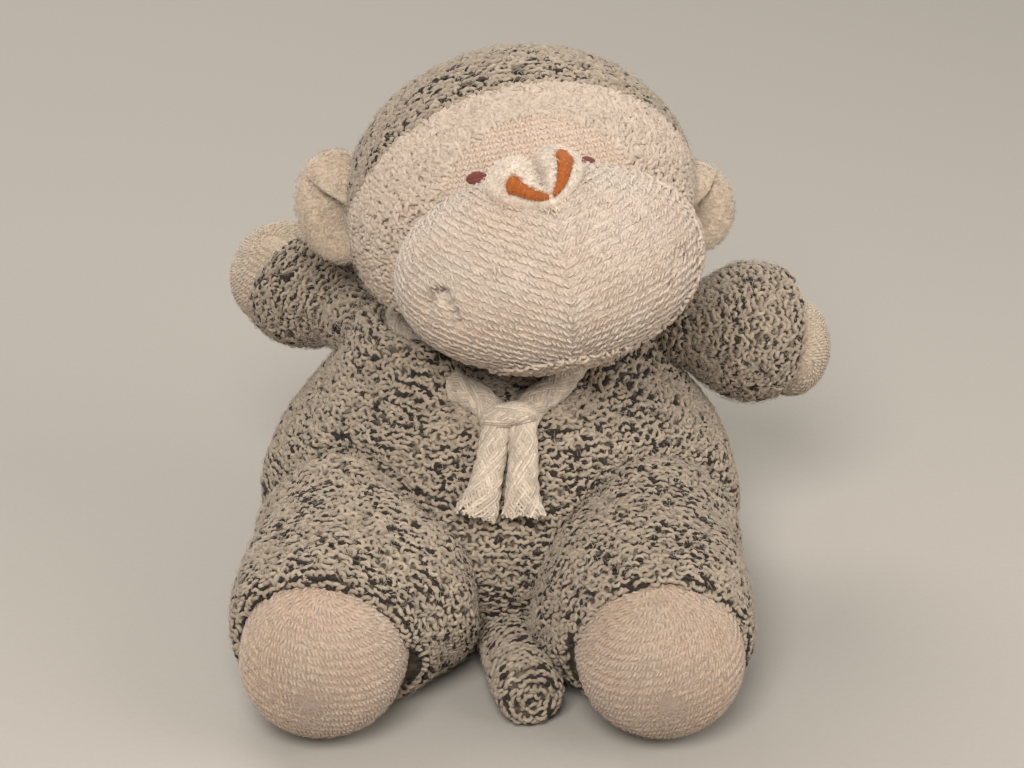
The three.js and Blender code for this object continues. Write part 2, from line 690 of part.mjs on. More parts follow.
// Ears: flat ovals with a folded front lip, sewn to the sides of the head on an upright seam.
function addEars() {
  const upright = new THREE.Vector3(0, 0, 1);
  const swings = [-EAR_FOLD - SWING_SPARE, 0, EAR_FOLD + SWING_SPARE];
  for (const side of SIDES) {
    const { sign } = side;
    const share = 1 - (side.earHeight / SKULL_HALF_HEIGHT) ** 2 - (EAR_BACK / SKULL_HALF_DEPTH) ** 2;
    const out = SKULL_HALF_WIDTH * Math.sqrt(share);
    const seam = new THREE.Vector3(sign * out, EAR_BACK, side.earHeight);
    const form = ellipsoid(EAR_HALF_WIDTH, EAR_HALF_DEPTH, side.earHalfHeight, BALL_FACETS);
    const oval = solid(form.translate(sign * (out + EAR_OUT), seam.y, seam.z + EAR_RISE));
    const roll = new THREE.CylinderGeometry(EAR_FOLD_RADIUS, EAR_FOLD_RADIUS, FAR, BALL_FACETS.segments);
    roll.rotateX(Math.PI / 2).rotateY(sign * radians(EAR_FOLD_TURN));
    const fold = solid(roll.translate(sign * (out + EAR_FOLD_OUT), seam.y - EAR_FOLD_FORWARD, 0));
    const room = swings.map((angle) => placed(skull(-CLEARANCE), turnAbout(seam, upright, angle)));
    addPiece(headGroup, `ear_${side.name}`, oval.subtract(fold).subtract(joined(room)), COLOUR.tan);
  }
}

function addLimbs() {
  SIDES.forEach((side, index) => {
    const arm = limbCover(armKnots(side), side.cuff.start, COVER_THICKNESS);
    addPiece(armPlaces[index], `sleeve_${side.name}`, arm.tube, COLOUR.marl);
    addPiece(armPlaces[index], `hand_${side.name}`, arm.end, COLOUR.tan);
    addPiece(armPlaces[index], `arm_filling_${side.name}`, arm.filling, COLOUR.fibre);
    group.add(armPlaces[index]);

    const leg = limbCover(LEG_KNOTS, LEG_LENGTH, COVER_THICKNESS);
    addPiece(legPlaces[index], `trouser_leg_${side.name}`, leg.tube, COLOUR.marl);
    addPiece(legPlaces[index], `foot_${side.name}`, leg.end, COLOUR.tan);
    addPiece(legPlaces[index], `leg_filling_${side.name}`, leg.filling, COLOUR.fibre);
    group.add(legPlaces[index]);
  });
  const tail = limbCover(TAIL_KNOTS, TAIL_SEAM, SMOOTH_KNIT_THICKNESS);
  addPiece(tailGroup, 'tail_cover', tail.tube, COLOUR.marl);
  addPiece(tailGroup, 'tail_end', tail.end, COLOUR.marl);
  addPiece(tailGroup, 'tail_filling', tail.filling, COLOUR.fibre);
  group.add(tailGroup);
}

// Neck cord: an open collar that dips to a knot at the throat, and two cut tails that lie on the belly.

function cordTube(points, steps) {
  const corners = [];
  for (let i = 0; i < CORD_SIDES; i += 1) {
    const angle = (i / CORD_SIDES) * 2 * Math.PI;
    const corner = new THREE.Vector2(Math.cos(angle), Math.sin(angle));
    corners.push(corner.multiplyScalar(CORD_DIAMETER / 2));
  }
  const extrudePath = new THREE.CatmullRomCurve3(points);
  return new THREE.ExtrudeGeometry(new THREE.Shape(corners), { steps, bevelEnabled: false, extrudePath });
}

// A point of the cord, given from the middle of the neck.
function byNeck(place) {
  return neckCentre.clone().add(new THREE.Vector3(...place));
}

function addCord() {
  const body = bodyForm(-CLEARANCE);
  const band = (spare) => {
    const depth = KNOT_HALF_DEPTH + spare;
    const form = ellipsoid(KNOT_HALF_WIDTH + spare, depth, KNOT_HALF_HEIGHT + spare, BALL_FACETS);
    return solid(form.translate(...byNeck(KNOT_PLACE)));
  };
  const knotRoom = band(CLEARANCE);
  const collar = solid(cordTube(COLLAR_ROUTE.map(byNeck), COLLAR_STEPS));
  addPiece(group, 'neck_cord', collar.subtract(knotRoom).subtract(body), COLOUR.cord);
  addPiece(group, 'cord_knot', band(0).subtract(body), COLOUR.cord);
  for (const side of SIDES) {
    const tail = solid(cordTube(side.cordTail.map(byNeck), CORD_TAIL_STEPS));
    addPiece(group, `cord_tail_${side.name}`, tail.subtract(knotRoom).subtract(body), COLOUR.cord);
  }
}

addBody();
addHead();
addEars();
addLimbs();
addCord();

export default group;
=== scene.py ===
import json
import math
from collections import namedtuple

import bpy
import numpy as np
from bpy.props import FloatProperty, FloatVectorProperty, IntProperty, PointerProperty
from mathutils import Matrix, Vector


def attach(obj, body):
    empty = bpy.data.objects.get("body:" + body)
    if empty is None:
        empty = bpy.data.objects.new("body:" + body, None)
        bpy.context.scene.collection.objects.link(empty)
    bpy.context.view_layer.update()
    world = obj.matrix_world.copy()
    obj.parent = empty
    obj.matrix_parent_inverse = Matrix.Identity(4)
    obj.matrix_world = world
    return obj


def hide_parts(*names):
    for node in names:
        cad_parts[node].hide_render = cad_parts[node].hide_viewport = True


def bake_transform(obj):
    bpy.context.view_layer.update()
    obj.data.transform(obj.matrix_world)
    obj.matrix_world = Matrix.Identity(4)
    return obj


bl_info = {
    "name": "Plush Monkey",
    "version": (1, 0, 0),
    "blender": (4, 5, 0),
    "location": "View3D > Sidebar > Plush",
    "description": "Dresses a seated plush monkey in loop knit, jersey, terry and braided cord",
    "category": "Object",
}

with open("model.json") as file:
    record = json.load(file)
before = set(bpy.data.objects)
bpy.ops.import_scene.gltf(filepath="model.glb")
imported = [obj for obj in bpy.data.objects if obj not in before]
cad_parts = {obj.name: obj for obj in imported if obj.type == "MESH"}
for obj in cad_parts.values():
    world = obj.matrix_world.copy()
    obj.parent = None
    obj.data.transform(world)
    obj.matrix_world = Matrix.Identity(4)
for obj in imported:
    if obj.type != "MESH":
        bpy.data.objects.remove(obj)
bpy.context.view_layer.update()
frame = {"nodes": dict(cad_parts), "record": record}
JOINT_PLACE = {
    joint["name"]: np.array(joint["pos_m"]) * 1000.0
    for joint in frame["record"]["behaviour"]["joints"]
}

MM = 0.001
FLOOR_LIFT = 0.25
YARN_FLOOR_LIFT = FLOOR_LIFT * 0.5
ROUND = (0.0, 2 * math.pi)
SMALL_STEP = 0.02
NEARLY_NONE = 1e-6
SPAN_STEPS = 24

# Body: radius and height of the pear's profile, in millimetres, and its depth as a share of its width
BODY_PROFILE = ((0, -5), (30, -3), (51, 10), (56, 27), (47.5, 46), (37, 57), (24, 63), (0, 66))
BODY_DEPTH_SHARE = 0.84
SIDE_SEAM, SEAM_LAP = 8.0, 2.0
NECK_RADIUS = 19.0
NECK_CENTRE = JOINT_PLACE["head_turn"]
UNDER_CHIN_RADIUS = 33.0
UNDER_CHIN_ANGLE = 60.0
PLEAT_DEPTH, PLEAT_COUNT = 0.8, 40

# Head, in its own frame: the skull, the face edge, the forehead patch, the muzzle and the nose
HEAD_CENTRE = np.array((5.0, -2.0, 97.5))
HEAD_TURN, HEAD_TILT_BACK, HEAD_LEAN = 8.0, 21.0, 7.0
SKULL = np.array((39.5, 35.0, 34.5))
HEAD_UNEVENNESS, HEAD_SEED = 0.7, 7
FACE_EDGE = np.array((42.0, 33.0))
FACE_DROP = 7.5
PATCH_EDGE = np.array((21.5, 18.5))
MUZZLE = np.array((33.5, 24.0, 22.5))
MUZZLE_CENTRE = np.array((0.0, -28.0, -14.0))
MOUTH_CREASE = ((28.2, -3.0), (27.2, -0.6), (25.6, -0.6), (24.6, -2.6), (23.2, -8.0))
MOUTH_DEPTH, MOUTH_WIDTH = {"right": 2.6, "left": 0.9}, 0.85
MUZZLE_SEAM_DEPTH, MUZZLE_SEAM_WIDTH = 0.35, 0.6
POLE_GAP = 0.01
NOSE_HALF_WIDTH, NOSE_HEIGHT, NOSE_PAD, NOSE_LIFT = 10.8, 15.0, 3.6, 0.9
NOSE_MIDDLE = np.array((0.0, NOSE_HEIGHT * 0.55))
NOSE_RINGS = 44
NOSE_LOBE, NOSE_LOBE_PLACE, NOSE_LOBE_SPAN = 2.2, (5.2, 9.4), (3.6, 4.8)
NOSE_FOLD, NOSE_FOLD_SPAN = 3.4, (1.5, 5.0)
NOSTRIL_START = (0.6, 1.1)
NOSTRIL_WIDTH = {"right": 1.3, "left": 1.7}
NOSTRIL_BENDS = {
    "right": ((3.0, 1.5), (5.2, 3.4), (7.3, 6.8)),
    "left": ((3.0, 2.2), (5.2, 4.8), (6.6, 9.6)),
}
NOSE_CLIMB, NOSE_LEAN, NOSE_TURN = 33.0, 46.0, 10.0
EYE_HALF_WIDTH, EYE_HALF_HEIGHT = 2.0, 1.1
EYE_SPREAD = {"right": 12.8, "left": 10.9}
EYE_HEIGHT = {"right": 7.3, "left": 6.5}
EAR = np.array((10.0, 5.0))
EAR_HALF_HEIGHT = {"right": 13.0, "left": 10.8}
EAR_OUT, EAR_BACK, EAR_RISE = 1.6, 3.0, 1.3
EAR_HEIGHT = {"right": 5.0, "left": -9.0}
EAR_KNIT = (1.0, 0.9)
EAR_FOLD_HEIGHT, EAR_FOLD_RISE, EAR_FOLD_SLANT, EAR_FOLD_SCALE = 13.0, 2.4, 0.85, 0.76
EAR_LOBE, EAR_LOBE_SPAN = 2.0, 5.5
EAR_HOLLOW, EAR_HOLLOW_SPAN = 2.8, 2.6
EAR_CUP, EAR_CUP_PLACE, EAR_CUP_SPAN = 1.5, (-1.0, -4.0), (4.5, 5.0)
EAR_OVERHANG, EAR_OVERHANG_SPAN = 2.4, 3.0
EAR_RIM, EAR_RIM_FADE = 7.5, 4.0

# Limbs: profiles along their own axes, with rolled hems, and the way that each axis points
SLEEVE_ROOT = ((0, -7.5), (5.3, -5.3), (7.5, 0), (7.6, 3))
SLEEVE_PROFILES = {
    "right": (*SLEEVE_ROOT, (13.9, 13.5), (14.0, 18.5), (12.9, 21.6), (11, 20.8), (0, 17)),
    "left": (*SLEEVE_ROOT, (15.2, 18), (14.9, 25), (13.6, 28.2), (11.4, 27.4), (0, 22)),
}
SLEEVE_LENGTH = {"right": 20.2, "left": 27.0}
CUFF_SLANT = {"right": 3.6, "left": 0.0}
CUFF_REACH, CUFF_SPAN = 12.0, (8.0, 20.0)
HAND_PROFILES = {
    "right": ((0, 10), (9, 13), (12.2, 19), (13.0, 25.5), (11.8, 31), (8, 35.6), (0, 37.4)),
    "left": ((0, 14), (9, 17), (11.6, 24), (12.0, 30), (10.9, 35), (7.2, 38.6), (0, 40)),
}
HAND_DROOP = {"right": 1.0, "left": 4.0}
DROOP_SPAN = 8.0
LEG_PROFILE = (
    (0, -22), (15.6, -15.6), (22, 0), (21.2, 7.5), (21.4, 20), (20.9, 33), (19.5, 39.2), (17.1, 40), (0, 30),
)
FOOT_PROFILE = ((0, 8), (11, 11), (16.2, 20), (17.3, 32), (17.5, 42), (16.1, 48.8), (11, 55), (0, 58.2))
LEG_END = max(height for radius, height in LEG_PROFILE)
HEM_SLANT, HEM_FLARE = 12.0, 8.5
HEM_REACH, HEM_HEIGHT, HEM_SPAN = 20.0, 24.0, (8.0, 38.0)
INNER_SWELL = {"right": 8.0, "left": 4.0}
SWELL_REACH, SWELL_START, SWELL_END = 16.0, (4.0, 18.0), (1.0, 15.0)
CREASE_DEPTH, CREASE_WIDTH = 1.9, 2.6
ROOT_LAP = 2.0
TAIL_PROFILE = (
    (0, -6.6), (4.7, -4.7), (6.6, 0), (6.4, 5), (6.8, 17), (6.8, 29), (6.2, 32.6), (4.5, 33.8), (0, 33),
)
NECKLINE_RISE, NECKLINE_RADIUS, NECKLINE_WIDTH = 9.0, 31.0, 5.0
NECKLINE_OPENING = (-105.0, -52.0)
NECKLINE_FADE = 9.0
LEG_DROP = 5.1 / 39.0

SIDES = {"right": -1.0, "left": 1.0}
ARM_ANGLES = {"right": (9.0, 47.0), "left": (-9.0, 15.0)}
LEG_SPLAY = {"right": 7.0, "left": 3.0}
TAIL_SPLAY = 11.0

# Neck cord: points listed from the middle of the neck; the collar from the throat's left, then the tails
COLLAR_ROUTE = (
    (7.6, -33, -7.8), (12.6, -28, -5.8), (17.2, -20.8, -3.2), (20.6, -13.5, -1.4), (22.8, -6, -1),
    (23.4, 2, -1), (21.6, 9, -1), (16.5, 16.5, -1), (9, 21.6, -1), (0, 23.4, -1), (-9, 21.6, -1),
    (-16.5, 16.5, -1), (-21.6, 9, -1), (-23.4, 2, -1), (-22.6, -6, -1), (-20, -13.5, -1.4),
    (-15.8, -20.8, -3.2), (-9.4, -28, -5.8), (-2.8, -33, -7.8),
)
TAIL_ROUTES = {
    "right": (
        (-0.6, -37, -10.6), (-1.1, -40.2, -14.4), (-1.9, -42.8, -17.8), (-2.9, -45.7, -21.6),
        (-4.0, -47.6, -24.7), (-5.0, -49, -27.4),
    ),
    "left": (
        (5.3, -37, -10.6), (5.4, -40.2, -14.4), (5.4, -42.8, -17.8), (5.3, -45.7, -21.6),
        (5.3, -47.6, -24.7), (5.4, -49, -27.4),
    ),
}
NAPE = 9
CORD_DIAMETER = 7.0
CORD_RADIUS = CORD_DIAMETER / 2
CORD_FLARE, CORD_FRAY, CORD_FLATTEN = 13.0, 3.5, 0.18
BRAID_LAY = 30.0
BRAID_YARN = 0.43
KNOT_PLACE = np.array((2.4, -36.2, -9.2))
KNOT_REACH = np.array((4.1, 2.9))
KNOT_THICKNESS, KNOT_TILT = 0.8, -38.0
CUT_END_RINGS, CUT_END_YARNS = 16, 60

# Yarns: loops that stand on the covers, rows of stitches that lie on them, and stray fibres
YarnStyle = namedtuple("YarnStyle", "half_length half_width lift radius wander sweep pitch stitch")
MARL = YarnStyle(0.9, 0.72, 1.0, 0.54, 0.6, (2.8, 5.2), 1.6, 1.4)
DASH = YarnStyle(1.3, 0.12, 0.95, 0.42, 0.16, (1.8, 2.4), 1.6, 1.5)
TERRY = YarnStyle(1.2, 0.6, 1.0, 0.56, 0.8, (1.6, 3.6), 1.2, 1.15)
MARL_DASHES = 0.5
DASH_CLUSTER = 3.0
FLUSH = (0.95, 0.84, 0.77)
CHEVRON = {"right": 0.62, "left": 0.32}
MUZZLE_ROWS, FOREHEAD_ROWS = (2.0, 0.92), (1.15, 0.8)
RibEnd = namedtuple(
    "RibEnd", "limb start columns fill rows tilt lean side_run radius seeds nap_start nap_count")
HAND = RibEnd("arm", 4, 160, 0.8, (1.5, 0.9), 0.3, 0.62, 10.0, 0.36, (107, 103, 109), 0.4, 3000)
FOOT = RibEnd("leg", 6, 240, 0.85, (1.95, 0.95), 0.3, 0.6, 16.0, 0.37, (117, 119, 113), 0.45, 7000)
FIBRE_RADIUS = 0.06
STRAY_LENGTH = 1.8
LOOP_TOP = 0.9
CHIN_FRINGE = ((-1.45, -1.05), (-math.pi / 2, math.pi / 2))
CHEEK_FRINGE = ((-1.0, 0.7), (1.26, 1.8))
YARN_RINGS, FIBRE_RINGS, STITCH_RINGS, THREAD_RINGS = 6, 4, 5, 9
YARN_SIDES = 5
MOST_LOOPS = 3900
RING_STEPS, STRETCH_STEP = 97, 0.5
CELL_MARGIN = 0.05

# Stage: lamps by name, place, size and power, the floor, the view and the light all round
LAMPS = (
    ("key_lamp", (-0.12, -0.8, 0.76), 0.5, 12.5),
    ("fill_lamp", (0.8, -0.4, 0.5), 0.7, 5.0),
    ("back_lamp", (-0.4, 0.7, 1.0), 0.9, 9.0),
)
LAMP_TARGET = (0.0, 0.0, 0.06)
FLOOR_HALF = 3000.0
CAMERA_TARGET = (3.0, -15.0, 58.0)
WORLD_COLOUR, WORLD_STRENGTH = (1.0, 0.98, 0.95), 0.43


# Settings

class PlushSizes(bpy.types.PropertyGroup):
    """Sizes of the yarns and the view."""

    yarn_scale: FloatProperty(
        name="Yarn thickness", description="Thickness of the loop yarn as a share of the real one",
        default=1.0, min=0.5, max=1.5, subtype="FACTOR")
    rib_height: FloatProperty(
        name="Rib height", description="Height of the jersey's ribs above their grooves",
        default=0.00016, min=0.0, max=0.001, unit="LENGTH")
    braid_strands: IntProperty(
        name="Braid strands", description="Strands that run each way round the neck cord",
        default=12, min=4, max=16)
    camera_distance: FloatProperty(
        name="Camera distance", description="From the camera to the middle of the toy",
        default=0.56, unit="LENGTH")
    camera_rise: FloatProperty(
        name="Camera elevation", description="Angle of the camera above the floor",
        default=math.radians(25), unit="ROTATION")
    lens: FloatProperty(name="Lens", description="Focal length on a 36 mm sensor", default=85.6)


def colour_setting(name, description, colour):
    """A colour that a user can change, given as red, green and blue of the screen."""
    linear = [channel_to_light(value) for value in colour]
    return FloatVectorProperty(
        name=name, description=description, subtype="COLOR", size=3, min=0.0, max=1.0, default=linear)


def channel_to_light(value):
    """A screen colour's channel as an amount of light."""
    share = value / 255.0
    return share / 12.92 if share <= 0.04045 else ((share + 0.055) / 1.055) ** 2.4


class PlushColours(bpy.types.PropertyGroup):
    """Colours of the yarns and cloths."""

    greige: colour_setting("Greige yarn", "Light yarn of the marled knit", (155, 139, 120))
    black_brown: colour_setting("Black-brown yarn", "Dark yarn of the marled knit", (44, 35, 28))
    terry: colour_setting("Terry", "Loops round the face", (182, 164, 146))
    peach: colour_setting("Forehead", "Flat knit of the forehead", (186, 166, 147))
    tan: colour_setting("Muzzle", "Rib knit of the muzzle", (184, 168, 151))
    foot: colour_setting("Feet", "Jersey of the feet", (171, 150, 130))
    ear: colour_setting("Ears and hands", "Jersey of the ears and hands", (174, 157, 136))
    velour: colour_setting("Nose", "Velour of the nose pad", (203, 188, 171))
    rust: colour_setting("Nostrils", "Stitches of the nostrils", (158, 82, 15))
    maroon: colour_setting("Eyes", "Stitches of the eyes", (116, 58, 50))
    cotton: colour_setting("Cord", "Cotton of the neck cord", (185, 168, 148))
    fibre: colour_setting("Filling", "Fibre filling inside the covers", (226, 222, 214))
    floor: colour_setting("Floor", "Plain floor under the toy", (159, 152, 142))


# Forms

def run_along(points):
    """How far along a path each of its points is."""
    return np.concatenate([[0], np.cumsum(np.linalg.norm(np.diff(points, axis=0), axis=1))])


def smooth_path(knots, per_span=SPAN_STEPS):
    """Points of a smooth path through the knots, with both ends carried straight on."""
    knots = np.asarray(knots, float)
    control = np.vstack([2 * knots[0] - knots[1], knots, 2 * knots[-1] - knots[-2]])
    return spline_points(control, per_span)


def pole_to_pole(knots):
    """Points of a smooth profile that meets its axis squarely at both ends."""
    knots = np.asarray(knots, float)
    flip = np.array((-1.0, 1.0))
    return spline_points(np.vstack([knots[1] * flip, knots, knots[-2] * flip]), SPAN_STEPS)


def spline_points(control, per_span):
    """Points of a centripetal spline between the second and the last but one of its controls."""
    times = np.concatenate([[0], np.cumsum(np.linalg.norm(np.diff(control, axis=0), axis=1) ** 0.5)])
    points = []
    for i in range(1, len(control) - 2):
        p0, p1, p2, p3 = control[i - 1:i + 3]
        t0, t1, t2, t3 = times[i - 1:i + 3]
        t = np.linspace(t1, t2, per_span, endpoint=False)[:, None]
        a1 = ((t1 - t) * p0 + (t - t0) * p1) / (t1 - t0)
        a2 = ((t2 - t) * p1 + (t - t1) * p2) / (t2 - t1)
        a3 = ((t3 - t) * p2 + (t - t2) * p3) / (t3 - t2)
        b1 = ((t2 - t) * a1 + (t - t0) * a2) / (t2 - t0)
        b2 = ((t3 - t) * a2 + (t - t1) * a3) / (t3 - t1)
        points.append(((t2 - t) * b1 + (t - t1) * b2) / (t2 - t1))
    points.append(control[-2][None])
    return np.vstack(points)


def unit(vectors):
    return vectors / np.maximum(np.linalg.norm(vectors, axis=-1, keepdims=True), 1e-9)


def along_axis(root, direction):
    """Rotation and place, in millimetres, of a limb whose own +Z runs from its root along the direction."""
    turn = Vector((0, 0, 1)).rotation_difference(Vector(direction).normalized()).to_matrix()
    return np.array(turn), np.array(root, float)


def lumps(points, height, seed):
    """Gentle unevenness of stuffing, as a height at each point."""
    rng = np.random.default_rng(seed)
    total = np.zeros(points.shape[:-1])
    for _ in range(6):
        wave = rng.normal(0, 1, 3) * 0.11
        total += np.sin(points @ wave + rng.uniform(0, 2 * math.pi))
    return total * height / 6


class Turned:
    """A stuffed cover turned about an axis, a little uneven; it rests on the floor where it reaches it."""

    def __init__(self, profile, turn, root, depth_share=1.0, unevenness=0.8, seed=1, drape=None):
        path = pole_to_pole(profile)
        self.run = run_along(path)
        self.radius = np.maximum(path[:, 0], 0.02)
        self.height = path[:, 1]
        self.length = self.run[-1]
        self.turn, self.root = turn, root
        self.depth_share, self.unevenness, self.seed = depth_share, unevenness, seed
        self.drape = drape
        self.middle = self.root + self.turn @ np.array((0, 0, (self.height.max() + self.height.min()) / 2))

    def at(self, along, around):
        radius = np.interp(along, self.run, self.radius)
        height = np.interp(along, self.run, self.height)
        local = np.stack([radius * np.cos(around), radius * np.sin(around) * self.depth_share, height], -1)
        world = local @ self.turn.T + self.root
        swell = lumps(world, self.unevenness, self.seed)
        away = unit(np.stack([local[..., 0], local[..., 1], np.zeros_like(radius)], -1)) @ self.turn.T
        world = world + away * (swell * np.minimum(radius / 8, 1))[..., None]
        if self.drape is not None:
            world = world + self.drape(world, height)
        world[..., 2] = np.maximum(world[..., 2], FLOOR_LIFT)
        return world

    def along_at(self, height):
        """How far along the profile the first place at that height is."""
        return self.run[np.argmax(self.height >= height)]

    def off(self, points):
        """How far points lie outside the cover, measured square to its axis."""
        local = (points - self.root) @ self.turn
        span = slice(0, len(self.run) - SPAN_STEPS)
        limit = np.interp(local[..., 2], self.height[span], self.radius[span], left=0, right=0)
        return np.hypot(local[..., 0], local[..., 1] / self.depth_share) - limit

    def holds(self, points, spare):
        """Which points lie inside the cover by more than the spare distance."""
        return self.off(points) < -spare


HEAD_AXES = np.array(
    Matrix.Rotation(math.radians(HEAD_TURN), 3, "Z")
    @ Matrix.Rotation(-math.radians(HEAD_TILT_BACK), 3, "X")
    @ Matrix.Rotation(-math.radians(HEAD_LEAN), 3, "Y")
)
NOSE_AXES = np.array(
    Matrix.Rotation(math.pi / 2 - math.radians(NOSE_LEAN), 3, "X")
    @ Matrix.Rotation(math.radians(NOSE_TURN), 3, "Z")
)
NOSE_SEAT = MUZZLE_CENTRE + MUZZLE * np.array(
    (0.0, -math.cos(math.radians(NOSE_CLIMB)), math.sin(math.radians(NOSE_CLIMB))))
NOSE_OUT = HEAD_AXES @ NOSE_AXES @ np.array((0, 0, 1.0))


def from_head(local):
    """Points of the head's own frame, in the toy's frame."""
    return local @ HEAD_AXES.T + HEAD_CENTRE


def into_head(points):
    return (points - HEAD_CENTRE) @ HEAD_AXES


def hood_edge(around):
    """Angle from the face's axis to the edge where hood and terry ring meet."""
    wide, high = SKULL[0] / FACE_EDGE[0], SKULL[2] / FACE_EDGE[1]
    drop = FACE_DROP / FACE_EDGE[1]
    slope = (wide * np.cos(around)) ** 2 + (high * np.sin(around)) ** 2
    lower = high * drop * np.sin(around)
    reach = (np.sqrt(lower ** 2 + slope * (1 - drop ** 2)) - lower) / slope
    return np.arcsin(np.minimum(reach, 1))


def patch_edge(around):
    """Angle from the face's axis to the edge of the forehead patch."""
    wide, high = SKULL[0] / PATCH_EDGE[0], SKULL[2] / PATCH_EDGE[1]
    return np.arcsin(1 / np.hypot(wide * np.cos(around), high * np.sin(around)))


def face_middle(around):
    return np.full_like(around, POLE_GAP)


def back_of_head(around):
    return np.full_like(around, math.pi - POLE_GAP)


class SkullBand:
    """The skin of the skull between two edges round the face."""

    def __init__(self, inner, outer, raised, length):
        self.inner, self.outer, self.raised, self.length = inner, outer, raised, length
        self.middle = HEAD_CENTRE

    def at(self, along, around):
        share = along / self.length
        slope = self.inner(around) + share * (self.outer(around) - self.inner(around))
        size = SKULL + self.raised
        local = np.stack([
            size[0] * np.sin(slope) * np.cos(around),
            -size[1] * np.cos(slope),
            size[2] * np.sin(slope) * np.sin(around),
        ], -1)
        world = from_head(local)
        return world + unit(world - HEAD_CENTRE) * lumps(world, HEAD_UNEVENNESS, HEAD_SEED)[..., None]


class MuzzleHalf:
    """One half of the muzzle, from the seam in the middle out to the cheek."""

    def __init__(self, sign):
        self.sign = sign
        self.length = 45.0
        self.middle = from_head(MUZZLE_CENTRE)

    def at(self, along, around):
        slope = along / self.length * (math.pi / 2 - 0.004)
        local = np.stack([
            self.sign * MUZZLE[0] * np.sin(slope),
            -MUZZLE[1] * np.cos(slope) * np.cos(around),
            MUZZLE[2] * np.cos(slope) * np.sin(around),
        ], -1)
        return from_head(local + MUZZLE_CENTRE)


class EarShell:
    """A flat stuffed ear, folded over a crease in front."""

    def __init__(self, side):
        self.sign = SIDES[side]
        height = EAR_HEIGHT[side]
        share = 1 - (height / SKULL[2]) ** 2 - (EAR_BACK / SKULL[1]) ** 2
        out = self.sign * (SKULL[0] * math.sqrt(share) + EAR_OUT)
        self.centre = np.array((out, EAR_BACK, height + EAR_RISE))
        self.tall = EAR_HALF_HEIGHT[side]
        self.length = 34.0
        self.middle = from_head(self.centre)

    def at(self, along, around):
        slope = along / self.length * math.pi
        outward = EAR[0] * np.sin(slope) * np.cos(around) * self.sign
        level = np.sin(slope) * np.sin(around)
        up = EAR_FOLD_HEIGHT * level
        above = (up - EAR_FOLD_RISE - EAR_FOLD_SLANT * outward) * EAR_FOLD_SCALE
        lobe = 0.5 + 0.5 * np.tanh(above / 0.5)
        fold = lobe * EAR_LOBE * np.exp(-(above / EAR_LOBE_SPAN) ** 2)
        fold = fold - (1 - lobe) * EAR_HOLLOW * np.exp(np.minimum(above, 0) / EAR_HOLLOW_SPAN)
        cup_aside = (outward - EAR_CUP_PLACE[0]) / EAR_CUP_SPAN[0]
        cup_above = (up - EAR_CUP_PLACE[1]) / EAR_CUP_SPAN[1]
        cup = EAR_CUP * np.exp(-cup_aside ** 2 - cup_above ** 2)
        front = np.clip(np.cos(slope) * 1.6, 0, 1)
        inner = np.clip((EAR_RIM - outward) / EAR_RIM_FADE, 0, 1)
        y = -EAR[1] * np.cos(slope) + front * (cup - fold * inner)
        overhang = front * lobe * EAR_OVERHANG * np.exp(-(above / EAR_OVERHANG_SPAN) ** 2) * inner
        local = np.stack([outward * self.sign, y, self.tall * level - overhang], -1)
        return from_head(local + self.centre)


class NeckGather:
    """Cloth drawn in by pleats from the hood's lower edge to the neck."""

    def __init__(self):
        self.length = 16.0
        self.middle = HEAD_CENTRE
        self.reach = UNDER_CHIN_RADIUS + 0.6
        self.turn = np.linspace(0, 2 * math.pi, 181)
        low = np.full_like(self.turn, math.radians(UNDER_CHIN_ANGLE))
        high = np.full_like(self.turn, math.radians(150))
        for _ in range(24):
            middle = (low + high) / 2
            inside = np.sum((into_head(self.round_neck(self.reach, middle, self.turn)) / SKULL) ** 2, -1) < 1
            low, high = np.where(inside, middle, low), np.where(inside, high, middle)
        self.edge = low

    def round_neck(self, reach, slope, turn):
        level = reach * np.sin(slope)
        return np.stack([level * np.cos(turn), level * np.sin(turn), reach * np.cos(slope)], -1) + NECK_CENTRE

    def at(self, along, around):
        share = along / self.length
        pleats = PLEAT_DEPTH * np.sin(around * PLEAT_COUNT) * np.sin(np.clip(share, 0, 1) * math.pi)
        edge = np.interp(around % (2 * math.pi), self.turn, self.edge)
        slope = edge * (1 - share) + math.radians(UNDER_CHIN_ANGLE + 4) * share
        return self.round_neck(self.reach + (NECK_RADIUS + 1.0 - self.reach) * share + pleats, slope, around)


def outward_at(cover, along, around):
    """Unit directions away from a cover's inside."""
    centre = cover.at(along, around)
    ahead = cover.at(along + SMALL_STEP, around) - centre
    aside = cover.at(along, around + SMALL_STEP) - centre
    direction = unit(np.cross(ahead, aside))
    flip = np.sign(np.sum(direction * (centre - cover.middle), -1, keepdims=True))
    return direction * np.where(flip == 0, 1, flip)


# Meshes

CORNERS = np.array(((0, 0), (1, 0), (1, 1), (0, 1)))


def grid_quads(rows, columns, closed):
    """Corner indices of a grid's faces; a closed grid joins its last column to its first."""
    index = np.arange(rows * columns).reshape(rows, columns)
    following = np.roll(index, -1, axis=1)
    here, there = (index, following) if closed else (index[:, :-1], index[:, 1:])
    return np.stack([here[:-1], there[:-1], there[1:], here[1:]], -1).reshape(-1, 4)


def grid_corners(rows, columns, closed):
    """Texture places of a grid's face corners."""
    wide = columns if closed else columns - 1
    first = np.stack(np.meshgrid(np.arange(wide), np.arange(rows - 1), indexing="xy"), -1)
    corners = first[:, :, None] + CORNERS
    return (corners / np.array((wide, rows - 1.0))).reshape(-1, 2)


